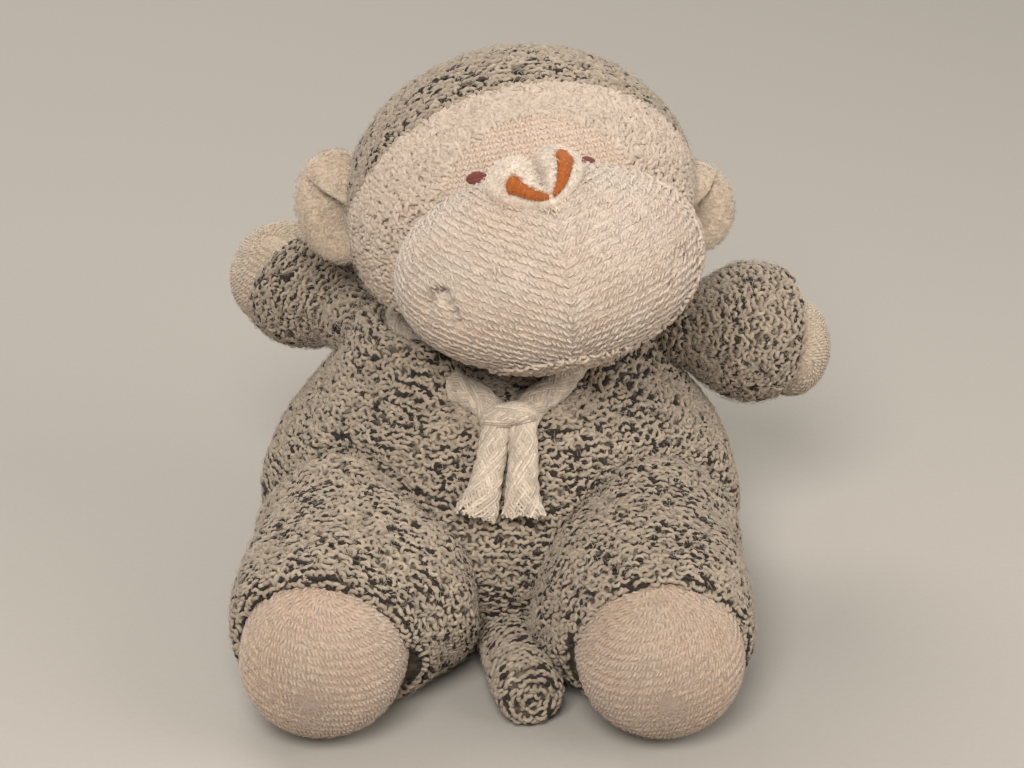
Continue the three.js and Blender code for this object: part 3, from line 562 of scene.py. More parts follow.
def new_piece(name, points, quads, corners, material, **values):
    """A smooth mesh object from points in millimetres, with texture places and named values per point."""
    mesh = bpy.data.meshes.new(name)
    mesh.vertices.add(len(points))
    mesh.vertices.foreach_set("co", np.ascontiguousarray(points * MM, dtype=np.float32).ravel())
    mesh.loops.add(quads.size)
    mesh.loops.foreach_set("vertex_index", np.ascontiguousarray(quads, dtype=np.int32).ravel())
    mesh.polygons.add(len(quads))
    mesh.polygons.foreach_set("loop_start", np.arange(0, quads.size, 4, dtype=np.int32))
    mesh.update(calc_edges=True)
    layer = mesh.uv_layers.new(name="OFBake")
    layer.data.foreach_set("uv", np.ascontiguousarray(corners, dtype=np.float32).ravel())
    for key, numbers in values.items():
        attribute = mesh.attributes.new(key, "FLOAT", "POINT")
        attribute.data.foreach_set("value", np.ascontiguousarray(numbers, dtype=np.float32).ravel())
    mesh.validate()
    mesh.shade_smooth()
    mesh.materials.append(material)
    piece = bpy.data.objects.new(name, mesh)
    bpy.context.scene.collection.objects.link(piece)
    return piece


def skin_piece(name, points, closed, material, keep=None, **values):
    """A grid of points as one piece; where keep is given, only the faces whose corners it keeps."""
    quads = grid_quads(*points.shape[:2], closed)
    corners = grid_corners(*points.shape[:2], closed)
    flat = points.reshape(-1, 3)
    if keep is not None:
        kept = keep(flat)[quads].all(axis=1)
        quads = quads[kept]
        corners = corners.reshape(-1, 4, 2)[kept].reshape(-1, 2)
    return new_piece(name, flat, quads, corners, material, **values)


def strands(name, lines, outward, radius, sides, material, **values):
    """Many round strands as one piece, off the floor; lines is strands x rings x 3, values are per ring."""
    count, rings = lines.shape[:2]
    ahead = unit(np.gradient(lines, axis=1))
    aside = unit(np.cross(ahead, np.broadcast_to(outward, lines.shape)))
    above = np.cross(aside, ahead)
    angle = np.arange(sides) / sides * 2 * math.pi
    spoke = aside[:, :, None] * np.cos(angle)[:, None] + above[:, :, None] * np.sin(angle)[:, None]
    points = lines[:, :, None] + spoke * np.broadcast_to(radius, (count, rings))[:, :, None, None]
    points[..., 2] = np.maximum(points[..., 2], YARN_FLOOR_LIFT)
    one = grid_quads(rings, sides, True)
    quads = (one[None] + np.arange(count)[:, None, None] * rings * sides).reshape(-1, 4)
    across = math.ceil(math.sqrt(count))
    cell = np.stack([np.arange(count) % across, np.arange(count) // across], -1)
    place = CELL_MARGIN + (1 - 2 * CELL_MARGIN) * grid_corners(rings, sides, True)
    corners = (cell[:, None] + place) / across
    carried = {
        key: np.repeat(np.broadcast_to(numbers, (count, rings)).ravel(), sides)
        for key, numbers in values.items()
    }
    return new_piece(name, points.reshape(-1, 3), quads, corners.reshape(-1, 2), material, **carried)


def knit_rows(cover, style, rng, first, last):
    """Places of the stitches of a cover, row by row: how far along and how far around."""
    along, around = [], []
    turn = np.linspace(*ROUND, RING_STEPS)
    level, number = first, 0
    while level < last:
        ring = cover.at(np.full_like(turn, level), turn)
        ahead = cover.at(np.full_like(turn, level + STRETCH_STEP), turn)
        stretch = max(np.median(np.linalg.norm(ahead - ring, axis=1)) / STRETCH_STEP, 1.0)
        run = run_along(ring)
        count = max(int(run[-1] / style.stitch), 3)
        place = (np.arange(count) + 0.5 * (number % 2) + rng.normal(0, 0.16, count)) / count
        around.append(np.interp(place % 1 * run[-1], run, turn))
        along.append(np.full(count, level) + rng.normal(0, 0.2 * style.pitch, count))
        level, number = level + style.pitch / stretch, number + 1
    return np.concatenate(along), np.concatenate(around)


def yarn_loops(name, points, row, outward, style, rng, thickness, material, dark=False):
    """Curled loops of yarn that stand on a cover; each has its own tone, and dark ones the lowest."""
    count = len(points)
    wander = rng.normal(0, style.wander, count)[:, None]
    across = np.cross(outward, row)
    ahead = row * np.cos(wander) + across * np.sin(wander)
    aside = np.cross(outward, ahead)
    share = np.linspace(-0.5, 0.5, YARN_RINGS)
    sweep = rng.uniform(*style.sweep, count)[:, None]
    size = rng.uniform(0.8, 1.2, count)[:, None]
    side = rng.choice((-1.0, 1.0), count)[:, None]
    x = style.half_length * size * np.sin(share * sweep)
    y = side * style.half_width * size * (np.cos(share * sweep) - 0.4)
    arch = np.cos(share * math.pi) ** 0.7
    z = (style.lift * rng.uniform(0.75, 1.15, count)[:, None]) * arch - 0.25
    lines = points[:, None] + x[..., None] * ahead[:, None] + y[..., None] * aside[:, None]
    lines = lines + z[..., None] * outward[:, None]
    radius = thickness * style.radius * rng.uniform(0.85, 1.12, count)[:, None] * (0.72 + 0.28 * arch)
    tone = rng.uniform(0, 1, count)[:, None] * (not dark)
    # lift is each loop's arch; yarn_finish paints shade at the loop's low ends by it.
    return strands(name, lines, outward[:, None], radius, YARN_SIDES, material, tone=tone, lift=arch)


# Materials

class Wire:
    """A value in a material's nodes; sums and products with it add Math nodes."""

    def __init__(self, paint, socket):
        self.paint, self.socket = paint, socket

    def __add__(self, other):
        return self.paint.add("ShaderNodeMath", {"operation": "ADD"}, {0: self, 1: other})

    def __mul__(self, other):
        return self.paint.add("ShaderNodeMath", {"operation": "MULTIPLY"}, {0: self, 1: other})

    __radd__ = __add__
    __rmul__ = __mul__


class Paint:
    """One material being put together from nodes."""

    def __init__(self, name):
        self.material = bpy.data.materials.new(name)
        self.material.use_nodes = True
        self.tree = self.material.node_tree
        self.shader = self.tree.nodes["Principled BSDF"]

    def add(self, kind, settings, inputs, output=0):
        """Adds a node: its settings first, then the values or links of its inputs; gives one output."""
        node = self.tree.nodes.new(kind)
        for key, value in settings.items():
            if key == "stops":
                self.set_stops(node.color_ramp, value)
            else:
                setattr(node, key, value)
        for key, value in inputs.items():
            self.feed(node.inputs[key], value)
        return Wire(self, node.outputs[output])

    def set_stops(self, ramp, stops):
        """Gives a ramp two greys, each by its place and its share of white."""
        for element, (place, share) in zip(ramp.elements, stops):
            element.position = place
            element.color = (share, share, share, 1)

    def feed(self, socket, value):
        if isinstance(value, Wire):
            self.tree.links.new(value.socket, socket)
        else:
            socket.default_value = (*value, 1) if isinstance(value, tuple) else value

    def value(self, name):
        """A value that the mesh carries at each point."""
        return self.add("ShaderNodeAttribute", {"attribute_name": name}, {}, "Fac")

    def noise(self, scale, detail=3.0, roughness=0.6):
        place = self.add("ShaderNodeTexCoord", {}, {}, "Object")
        inputs = {"Vector": place, "Scale": scale, "Detail": detail, "Roughness": roughness}
        return self.add("ShaderNodeTexNoise", {}, inputs, "Fac")

    def ramp(self, level, *stops):
        return self.add("ShaderNodeValToRGB", {"stops": stops}, {"Fac": level}, "Color")

    def mix(self, share, first, second):
        """A colour between two, by a share from 0 to 1."""
        return self.add("ShaderNodeMix", {"data_type": "RGBA"}, {0: share, 6: first, 7: second}, 2)

    def bump(self, height, distance, strength=1.0):
        inputs = {"Height": height, "Distance": distance, "Strength": strength}
        return self.add("ShaderNodeBump", {}, inputs, "Normal")

    def finish(self, sheen=0.0, **values):
        for name, value in values.items():
            self.feed(self.shader.inputs[name.replace("_", " ")], value)
        self.feed(self.shader.inputs["Sheen Weight"], sheen)
        self.feed(self.shader.inputs["Sheen Roughness"], 0.5)
        self.feed(self.shader.inputs["Specular IOR Level"], 0.25)
        return self.material


def shaded(colour, share):
    return tuple(channel * share for channel in colour)


def blended(first, second, share):
    return tuple(a + (b - a) * share for a, b in zip(first, second))


def yarn_finish(name, light, dark, dark_share, root_shade_share, spread):
    """Loop yarn: each loop has its own tone, some are of the dark yarn, and roots carry painted shade where
    they dip into the ground.
    """
    paint = Paint(name)
    tone = paint.value("tone")
    grain = paint.noise(900.0, 2.0)
    patches = paint.noise(60.0, 2.0)
    pale = paint.mix(tone, shaded(light, 1 - 0.26 * spread), shaded(light, 1 + 0.16 * spread))
    pale = paint.mix(paint.ramp(patches, (0.35, 0.0), (0.7, 0.35 * spread)), pale, shaded(light, 0.82))
    pale = paint.mix(paint.ramp(grain, (0.3, 0.45 * spread), (0.65, 0.0)), pale, shaded(light, 0.6))
    # Painted shade: the low ends of each loop, by its lift, darken towards the light yarn scaled by the root
    # share.
    depth = paint.ramp(paint.value("lift"), (0.0, 0.75), (0.75, 0.0))
    root = paint.mix(depth, pale, shaded(light, root_shade_share))
    colour = paint.mix(paint.ramp(tone, (dark_share, 1.0), (dark_share + 0.03, 0.0)), root, dark)
    normal = paint.bump(grain, 0.0002, 0.6)
    return paint.finish(Base_Color=colour, Roughness=0.82 + 0.18 * grain, Normal=normal, sheen=0.08)


def ground_finish(name, dark, light):
    """The knit behind the loops, in a colour darker than theirs that is partly the marl's dark yarn and
    partly painted shade in the gaps, flecked with the light colour.
    """
    paint = Paint(name)
    flecks = paint.noise(520.0, 3.0)
    # Flecks take the light colour at 0.6, which for the marl is its light yarn in painted shade.
    colour = paint.mix(paint.ramp(flecks, (0.5, 0.0), (0.68, 0.5)), dark, shaded(light, 0.6))
    return paint.finish(Base_Color=colour, Roughness=1.0, Normal=paint.bump(flecks, 0.0006, 0.8))


def jersey_finish(name, light, flush):
    """Fine knit whose grooves carry painted shade, with a soft fuzz and worn, flushed patches."""
    paint = Paint(name)
    grain = paint.noise(1500.0, 3.0, 0.7)
    patches = paint.noise(75.0, 3.0)
    colour = paint.mix(paint.ramp(patches, (0.35, 0.0), (0.7, 0.7)), light, flush)
    # Painted shade: low relief, in grooves and at stitch ends, darkens towards the flushed colour at 0.62.
    grooves = paint.ramp(paint.value("relief"), (0.0, 0.5), (0.75, 0.0))
    colour = paint.mix(grooves, colour, shaded(flush, 0.62))
    colour = paint.mix(paint.ramp(grain, (0.28, 0.7), (0.5, 0.0)), colour, shaded(flush, 0.55))
    colour = paint.mix(paint.ramp(grain, (0.52, 0.0), (0.72, 0.6)), colour, shaded(light, 1.35))
    normal = paint.bump(grain, 0.00022, 0.8)
    return paint.finish(Base_Color=colour, Roughness=0.85 + 0.15 * grain, Normal=normal, sheen=0.35)


def thread_finish(name, light):
    """Stitched thread with a slight shine and uneven dye."""
    paint = Paint(name)
    grain = paint.noise(1400.0, 2.0)
    colour = paint.mix(paint.value("tone"), shaded(light, 0.72), shaded(light, 1.2))
    colour = paint.mix(paint.ramp(grain, (0.35, 0.5), (0.6, 0.0)), colour, shaded(light, 0.55))
    normal = paint.bump(grain, 0.00012)
    return paint.finish(Base_Color=colour, Roughness=0.6 + 0.25 * grain, Normal=normal, sheen=0.2)


def down_finish(name, light):
    """Fine stray fibres, a little paler than the cloth that they stand on."""
    paint = Paint(name)
    colour = paint.mix(paint.value("tone"), shaded(light, 0.95), shaded(light, 1.25))
    return paint.finish(Base_Color=colour, Roughness=0.9, sheen=0.3)


def fibre_finish(name, light):
    """Tufted fibre filling."""
    paint = Paint(name)
    tufts = paint.noise(420.0, 5.0, 0.7)
    colour = paint.mix(paint.ramp(tufts, (0.3, 0.6), (0.65, 0.0)), light, shaded(light, 0.72))
    normal = paint.bump(tufts, 0.0008)
    return paint.finish(Base_Color=colour, Roughness=0.85 + 0.15 * tufts, Normal=normal)


def floor_finish(name, light):
    """Plain pale cloth with a faint weave."""
    paint = Paint(name)
    weave = paint.noise(700.0, 2.0)
    colour = paint.mix(paint.ramp(weave, (0.3, 0.25), (0.7, 0.0)), light, shaded(light, 0.9))
    return paint.finish(Base_Color=colour, Roughness=0.95, Normal=paint.bump(weave, 0.0001, 0.4))


def finish_of(name, build, *colours):
    """The material of that name, made the first time that it is asked for."""
    return bpy.data.materials.get(name) or build(name, *colours)


def tint(name):
    """A colour from the settings, as red, green and blue."""
    return tuple(getattr(bpy.context.scene.plush_colours, name))


def terry_yarn():
    return finish_of("terry_yarn", yarn_finish, tint("terry"), shaded(tint("peach"), 0.9), 0.02, 0.9, 0.5)


def jersey(name, light):
    """Fine knit of a colour, with patches that are flushed with red."""
    flush = tuple(channel * share for channel, share in zip(light, FLUSH))
    return finish_of(name, jersey_finish, light, flush)


# Pieces

def seat_piece(piece, slot, nodes=(), body=None, joint=None, fill=None):
    """Ties a piece to the body that carries it, or bakes in its place when it spans a joint; hides the nodes
    that it stands for.
    """
    if joint:
        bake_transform(piece)
    else:
        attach(piece, body)
    if nodes:
        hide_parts(*nodes)
    return piece


def circle(columns):
    return np.arange(columns) / columns * 2 * math.pi


def even_steps(first, last, step):
    return np.linspace(first, last, max(int((last - first) / step), 8))


def plain_cover(name, cover, columns, material, keep=None, spare=0.0, step=1.2):
    """The ground of a knitted cover, past both of its edges by the spare length."""
    grid = np.meshgrid(even_steps(-spare, cover.length + spare, step), circle(columns), indexing="ij")
    return skin_piece(name, cover.at(*grid), True, material, keep)


def looped_cover(name, cover, style, material, reach, seed, keep=None, radial=False, dashes=0.0):
    """The yarn loops of a knitted cover, in rows round it; a share of dark dashes lies between the rows."""
    rng = np.random.default_rng(seed)
    thickness = bpy.context.scene.plush_sizes.yarn_scale
    along, around = knit_rows(cover, style, rng, *reach)
    layers = [(style, along, around, False)]
    if dashes:
        cluster = np.clip(0.5 + lumps(cover.at(along, around) * DASH_CLUSTER, 1.6, seed), 0, 1)
        chosen = rng.uniform(0, 1, len(along)) < 2 * dashes * cluster
        layers.append((DASH, along[chosen] + style.pitch / 2, around[chosen], True))
    pieces = []
    for kind, level, place, dark in layers:
        points = cover.at(level, place)
        if keep is not None:
            kept = keep(points)
            level, place, points = level[kept], place[kept], points[kept]
        outward = outward_at(cover, level, place)
        row = unit(cover.at(level, place + SMALL_STEP) - points)
        row = unit(row - outward * np.sum(row * outward, -1, keepdims=True))
        if radial:
            row = np.cross(outward, row)
        for start in range(0, len(points), MOST_LOOPS):
            part = slice(start, start + MOST_LOOPS)
            label = f"{name}_{len(pieces) + 1}"
            pieces.append(yarn_loops(
                label, points[part], row[part], outward[part], kind, rng, thickness, material, dark))
    return pieces


def marled(name, cover, reach, columns, seed, nodes=(), ground=None, style=MARL, keep=None,
           ground_keep=None, step=1.2, fill=0.7, **carried):
    """A cover of marled knit: the ground, dark with the dark yarn and with painted shade between the loops,
    and the loops on it with their dark dashes.
    """
    greige, black_brown = tint("greige"), tint("black_brown")
    # The ground is mostly the dark yarn, which also paints the shade in the gaps between the loops.
    backing = finish_of("marl_ground", ground_finish, blended(black_brown, greige, 0.16), greige)
    piece = plain_cover(ground or f"{name}_ground", cover, columns, backing, ground_keep, step=step)
    seat_piece(piece, "marled_knit", nodes, fill=fill, **carried)
    yarn = finish_of("marl_yarn", yarn_finish, greige, black_brown, 0.03, 0.5, 1.0)
    for piece in looped_cover(f"{name}_loops", cover, style, yarn, reach, seed, keep, dashes=MARL_DASHES):
        seat_piece(piece, "marled_knit", **carried)


def plain_relief(points):
    return np.full(points.shape[:-1], 0.6)


def knit_relief(points):
    """Height of the ears' fine knit between 0 in the grooves and 1 on the crowns of single stitches."""
    local = into_head(points)
    line = local[..., 2] / EAR_KNIT[0]
    crown = np.sqrt(np.abs(np.sin(math.pi * line)))
    spot = local[..., 0] / EAR_KNIT[1] + 0.5 * np.floor(line)
    bead = np.abs(np.sin(math.pi * spot))
    uneven = np.sin(np.floor(line) * 12.9898 + np.floor(spot) * 78.233) * 43758.5453
    uneven = uneven - np.floor(uneven)
    return crown * (0.65 + 0.35 * bead) * (0.75 + 0.25 * uneven)


def jersey_cover(name, cover, reach, around, material, height, step, closed=True, ribs=plain_relief,
                 press=None, keep=None):
    """A fine knit skin; ribs gives the height of its knit at each point, and press the depth of a dent."""
    grid = np.meshgrid(even_steps(*reach, step), around, indexing="ij")
    points = cover.at(*grid)
    outward = outward_at(cover, *grid)
    rng = np.random.default_rng(len(name))
    # The relief moves the skin and, through jersey_finish, paints shade in the grooves.
    relief = np.clip(ribs(points) + rng.normal(0, 0.1, grid[0].shape), 0, 1)
    points = points + outward * ((relief - 1) * height)[..., None]
    if press is not None:
        points = points - outward * press(points)[..., None]
    points[..., 2] = np.maximum(points[..., 2], FLOOR_LIFT)
    return skin_piece(name, points, closed, material, keep, relief=relief)


def scatter(cover, reach, around, count, seed, keep=None):
    """Places spread over a cover, and the directions away from it."""
    rng = np.random.default_rng(seed)
    along, place = rng.uniform(*reach, count), rng.uniform(*around, count)
    points = cover.at(along, place)
    outward = outward_at(cover, along, place)
    kept = np.ones(count, bool) if keep is None else keep(points)
    return points[kept], outward[kept]


def fuzz(name, points, outward, finish, colour, length, seed):
    """Short stray fibres on a brushed cloth."""
    rng = np.random.default_rng(seed)
    ahead = unit(np.cross(outward, rng.normal(0, 1, points.shape)))
    aside = np.cross(outward, ahead)
    reach = (length * rng.uniform(0.5, 1.3, len(points)))[:, None]
    lean = rng.uniform(0.4, 1.3, len(points))[:, None]
    curl = rng.normal(0, 0.4, len(points))[:, None]
    share = np.linspace(0, 1, FIBRE_RINGS)
    out = reach * np.sin(share * lean * 1.6 + 0.25) * 0.45 - 0.12
    over = reach * share
    bow = reach * curl * share ** 2
    lines = (points[:, None] + outward[:, None] * out[..., None] + ahead[:, None] * over[..., None]
             + aside[:, None] * bow[..., None])
    tone = rng.uniform(0, 1, len(points))[:, None]
    material = finish_of(finish, down_finish, colour)
    return strands(name, lines, outward[:, None], FIBRE_RADIUS * (1.1 - 0.7 * share), 3, material, tone=tone)


def fibres(name, cover, reach, finish, colour, count, length, seed, keep=None, rise=0.0):
    """Stray fibres spread over a cover, or over the tops of its loops."""
    points, outward = scatter(cover, reach, ROUND, count, seed, keep)
    return fuzz(name, points + outward * rise, outward, finish, colour, length, seed)


def marl_fibres(name, cover, reach, keep, count, seed, **carried):
    """Stray fibres of the marled knit."""
    nap = fibres(name, cover, reach, "marl_down", tint("greige"), count, STRAY_LENGTH, seed, keep, LOOP_TOP)
    seat_piece(nap, "marled_knit", **carried)


def slanted_stitches(name, points, outward, up, across, material, length, radius, seed, lean):
    """Short slanting stitches that lie on a cloth, one at each place."""
    rng = np.random.default_rng(seed)
    angle = rng.normal(lean, 0.22, len(points))[:, None]
    ahead = up * np.cos(angle) + across * np.sin(angle)
    share = np.linspace(-0.5, 0.5, STITCH_RINGS)
    arch = np.cos(share * math.pi) ** 0.6
    size = rng.uniform(0.85, 1.1, len(points))[:, None]
    lines = (points[:, None] + ahead[:, None] * (length * size * share)[..., None]
             + outward[:, None] * (radius * (0.9 * arch * size - 0.62))[..., None])
    tone = rng.uniform(0.7, 1.0, len(points))[:, None]
    # Relief is each stitch's random tone, less towards its ends, so jersey_finish paints shade where it dips
    # into the cloth.
    relief = np.clip(tone - 0.4 * (1 - arch), 0, 1)
    return strands(name, lines, outward[:, None], radius * (0.6 + 0.4 * arch), 4, material, relief=relief)


def dome_rows(cover, rows, tilt, side_run, rng):
    """Stitches in rows over a limb's rounded end and down its sides: places, and ways out, up and across."""
    pitch, stitch = rows
    widest = np.argmax(cover.radius)
    full = cover.radius[widest]
    turned = np.array(((math.cos(tilt), -math.sin(tilt)), (math.sin(tilt), math.cos(tilt))))
    along, around = [], []
    most = int(1.45 * full / pitch)
    for row in range(-most, most + 1):
        angle = row * pitch / full
        wide = full * math.cos(angle)
        reach = wide * math.pi / 2 + side_run
        run = np.arange(-reach, reach, stitch) + 0.5 * stitch * (row % 2)
        run = run + rng.normal(0, 0.07, len(run))
        bent = np.clip(run / wide, -math.pi / 2, math.pi / 2)
        flat = np.stack([wide * np.sin(bent), np.full_like(run, full * math.sin(angle))], -1) @ turned.T
        radius = np.linalg.norm(flat, axis=-1)
        dome = np.interp(radius, cover.radius[widest:][::-1], cover.run[widest:][::-1])
        along.append(dome - np.maximum(np.abs(run) - wide * math.pi / 2, 0))
        around.append(np.arctan2(flat[:, 1], flat[:, 0]))
    along, around = np.concatenate(along), np.concatenate(around)
    outward = outward_at(cover, along, around)
    level = cover.turn @ np.array((*turned[:, 1], 0.0))
    across = unit(np.cross(level, outward))
    return cover.at(along, around), outward, np.cross(outward, across), across


def ribbed_end(kind, side, cover, style, way, colour):
    """A hand or a foot of rib knit: its skin, its rows of stitches and its nap."""
    name, limb = f"{kind}_{side}", f"{side}_{style.limb}"
    cloth = jersey(f"{kind}_jersey", colour)
    height = bpy.context.scene.plush_sizes.rib_height / MM
    row_seed, stitch_seed, nap_seed = style.seeds
    skin = jersey_cover(
        f"{name}_skin", cover, (style.start, cover.length), circle(style.columns), cloth, height, step=0.45)
    seat_piece(skin, "tan_knit", [name], body=limb, fill=style.fill)
    places = dome_rows(cover, style.rows, style.tilt * way, style.side_run, np.random.default_rng(row_seed))
    rows = slanted_stitches(
        f"{name}_stitches", *places, cloth, style.rows[0], style.radius, stitch_seed, style.lean * way)
    reach = (cover.length * style.nap_start, cover.length)
    nap = fibres(
        f"{name}_nap", cover, reach, f"{kind}_down", colour, style.nap_count, length=1.3, seed=nap_seed)
    for piece in (rows, nap):
        seat_piece(piece, "tan_knit", body=limb)


# Limbs and joins

def smooth_step(values, first, last):
    share = np.clip((values - first) / (last - first), 0, 1)
    return share * share * (3 - 2 * share)


def neckline(points, height):
    """The cloth of the shoulders bunches up round the neck cord, except at the throat."""
    first, last = NECKLINE_OPENING
    around = np.degrees(np.arctan2(points[..., 1] / BODY_DEPTH_SHARE, points[..., 0]))
    opening = smooth_step(around, first - NECKLINE_FADE, first)
    opening = opening * (1 - smooth_step(around, last, last + NECKLINE_FADE))
    reach = np.hypot(points[..., 0], points[..., 1] / BODY_DEPTH_SHARE)
    ridge = np.exp(-((reach - NECKLINE_RADIUS) / NECKLINE_WIDTH) ** 2) * (height > BODY_PROFILE[4][1])
    rise = np.zeros_like(points)
    rise[..., 2] = NECKLINE_RISE * ridge * (1 - opening)
    return rise


def crease(points, away, others):
    """The seam that pulls a cover in where it meets another."""
    share = np.max([np.exp(-(other.off(points) / CREASE_WIDTH) ** 2) for other in others], axis=0)
    return -unit(away + NEARLY_NONE) * (CREASE_DEPTH * share)[..., None]


def drape_body(points, height):
    return neckline(points, height) + crease(points, points * np.array((1.0, 1.0, 0.0)), LEGS.values())


def arm_axis(side):
    raise_angle, back = (math.radians(value) for value in ARM_ANGLES[side])
    direction = (SIDES[side] * math.cos(back), math.sin(back), math.tan(raise_angle))
    return along_axis(JOINT_PLACE[f"{side}_arm_swing"], direction)


def leg_axis(side):
    direction = (SIDES[side] * math.sin(math.radians(LEG_SPLAY[side])), -1.0, -LEG_DROP)
    return along_axis(JOINT_PLACE[f"{side}_leg_swing"], direction)


def tail_axis():
    splay = math.radians(TAIL_SPLAY)
    return along_axis(JOINT_PLACE["tail_lift"], (math.sin(splay), -math.cos(splay), 0.0))


def slant_hem(side):
    """A trouser leg that swells towards the other, with a hem further back on the floor between them."""
    turn, root = leg_axis(side)
    inwards = np.array((-SIDES[side], 0.0, 0.0))

    def drape(points, height):
        off = points - root - height[..., None] * turn[:, 2]
        low = np.clip((HEM_HEIGHT - points[..., 2]) / HEM_HEIGHT, 0, 1)
        share = np.clip(off @ inwards / HEM_REACH, 0, 1) * low * smooth_step(height, *HEM_SPAN)
        hem = share[..., None] * (inwards * HEM_FLARE - turn[:, 2] * HEM_SLANT)
        swell = np.clip(off @ inwards / SWELL_REACH, 0, 1) * smooth_step(height, *SWELL_START)
        swell = INNER_SWELL[side] * swell * smooth_step(LEG_END - height, *SWELL_END)
        return hem + swell[..., None] * inwards + crease(points, off, [BODY])

    return drape


def slant_cuff(side):
    """A cuff that lies further back above than below."""
    turn, root = arm_axis(side)

    def drape(points, height):
        rise = np.clip((points - root - height[..., None] * turn[:, 2])[..., 2] / CUFF_REACH, -1, 1)
        return (-CUFF_SLANT[side] * rise * smooth_step(height, *CUFF_SPAN))[..., None] * turn[:, 2]

    return drape


def droop(side):
    """A hand that hangs from its cuff."""
    cuff = SLEEVE_LENGTH[side]

    def drape(points, height):
        fall = np.zeros_like(points)
        fall[..., 2] = -HAND_DROOP[side] * smooth_step(height, cuff - DROOP_SPAN, cuff + DROOP_SPAN)
        return fall

    return drape


SLEEVES = {
    side: Turned(SLEEVE_PROFILES[side], *arm_axis(side), unevenness=0.8, seed=11, drape=slant_cuff(side))
    for side in SIDES
}
LEGS = {
    side: Turned(LEG_PROFILE, *leg_axis(side), unevenness=1.2, seed=17, drape=slant_hem(side))
    for side in SIDES
}
TAIL = Turned(TAIL_PROFILE, *tail_axis(), unevenness=0.4, seed=23)
BODY = Turned(
    BODY_PROFILE, np.eye(3), np.zeros(3), BODY_DEPTH_SHARE, unevenness=1.6, seed=3, drape=drape_body)
LIMBS = [*SLEEVES.values(), *LEGS.values(), TAIL]


def clear_of_limbs(points):
    """Body places that no limb's root covers."""
    return ~np.any([limb.holds(points, ROOT_LAP) for limb in LIMBS], axis=0)


def clear_of_body(points):
    """Limb places that the body doesn't cover."""
    return ~BODY.holds(points, ROOT_LAP)


def clear_of_chin(points):
    """Head places outside the room that is left round the neck."""
    arm = points - NECK_CENTRE
    reach = np.linalg.norm(arm, axis=-1)
    lean = np.degrees(np.arccos(arm[..., 2] / np.maximum(reach, NEARLY_NONE)))
    return (reach > UNDER_CHIN_RADIUS) | (lean < UNDER_CHIN_ANGLE)


def on_panel(name, lap=0.0):
    """A test for places on one side of the side seam, or past it by no more than the lap."""
    way = {"front": -1.0, "back": 1.0}[name]
    return lambda points: (points[..., 1] - SIDE_SEAM) * way >= -lap


def bend(limb, turned_body, near, far):
    """Where a limb's cover would bend between the torso and its body, from one height on its axis to another;
    seat_piece only bakes such pieces in place.
    """
    axis = limb.turn[:, 2]
    return {
        "from": "torso",
        "to": turned_body,
        "start": tuple((limb.root + axis * near) * MM),
        "end": tuple((limb.root + axis * far) * MM),
    }


# Operators

class PLUSH_OT_body(bpy.types.Operator):
    """Knit the body cover, front and back, and the neck"""

    bl_idname = "plush.body"
    bl_label = "Body"

    def execute(self, context):
        reach = (2.0, BODY.length - 14)
        for number, name in enumerate(("front", "back")):
            on = on_panel(name)
            marled(
                f"body_{name}", BODY, reach, columns=180, seed=31 + number, nodes=[f"body_{name}_panel"],
                keep=lambda points: on(points) & clear_of_limbs(points),
                ground_keep=on_panel(name, SEAM_LAP), body="torso")
        marl_fibres("body_nap", BODY, reach, clear_of_limbs, count=9000, seed=163, body="torso")
        slant = NECK_RADIUS * math.sqrt(0.5)
        profile = ((0, -NECK_RADIUS), (slant, -slant), (NECK_RADIUS, 0), (slant, slant), (0, NECK_RADIUS))
        neck = Turned(profile, np.eye(3), NECK_CENTRE, unevenness=0.3, seed=5)
        reach = (neck.length * 0.3, neck.length * 0.72)
        style = MARL._replace(lift=0.45)
        marled(
            "neck", neck, reach, columns=90, seed=37, nodes=["neck_stub"], style=style, fill=0.8, body="neck")
        return {"FINISHED"}


class PLUSH_OT_arms(bpy.types.Operator):
    """Knit the sleeves and the hands"""

    bl_idname = "plush.arms"
    bl_label = "Arms"

    def execute(self, context):
        for side, sleeve in SLEEVES.items():
            joint = bend(sleeve, f"{side}_arm", near=-5, far=9)
            hem = sleeve.along_at(SLEEVE_LENGTH[side] + 1)
            nodes = [f"sleeve_{side}", f"arm_filling_{side}"]
            marled(
                f"sleeve_{side}", sleeve, (4, hem + 1.5), columns=90, seed=41, nodes=nodes,
                keep=clear_of_body, joint=joint)
            marl_fibres(
                f"sleeve_{side}_nap", sleeve, (4, hem), clear_of_body, count=3000, seed=167, joint=joint)
            hand = Turned(HAND_PROFILES[side], *arm_axis(side), unevenness=0.5, seed=43, drape=droop(side))
            ribbed_end("hand", side, hand, HAND, 1.0, tint("ear"))
        return {"FINISHED"}


class PLUSH_OT_legs(bpy.types.Operator):
    """Knit the trouser legs and the feet"""

    bl_idname = "plush.legs"
    bl_label = "Legs"

    def execute(self, context):
        for side, leg in LEGS.items():
            joint = bend(leg, f"{side}_leg", near=-12, far=16)
            hem = leg.along_at(39)
            nodes = [f"trouser_leg_{side}", f"leg_filling_{side}"]
            marled(
                f"leg_{side}", leg, (8, hem + 2.5), columns=120, seed=47, nodes=nodes,
                keep=clear_of_body, joint=joint)
            marl_fibres(f"leg_{side}_nap", leg, (8, hem), clear_of_body, count=5000, seed=173, joint=joint)
            foot = Turned(FOOT_PROFILE, *leg_axis(side), unevenness=0.7, seed=53)
            ribbed_end("foot", side, foot, FOOT, SIDES[side], tint("foot"))
        return {"FINISHED"}


class PLUSH_OT_tail(bpy.types.Operator):
    """Knit the tail with its rolled end"""

    bl_idname = "plush.tail"
    bl_label = "Tail"

    def execute(self, context):
        marled(
            "tail", TAIL, (5, TAIL.length - 0.6), columns=72, seed=59,
            nodes=["tail_cover", "tail_end", "tail_filling"],
            style=MARL._replace(half_width=0.45, wander=0.25), keep=clear_of_body, fill=0.6,
            joint=bend(TAIL, "tail", near=-4, far=8))
        return {"FINISHED"}


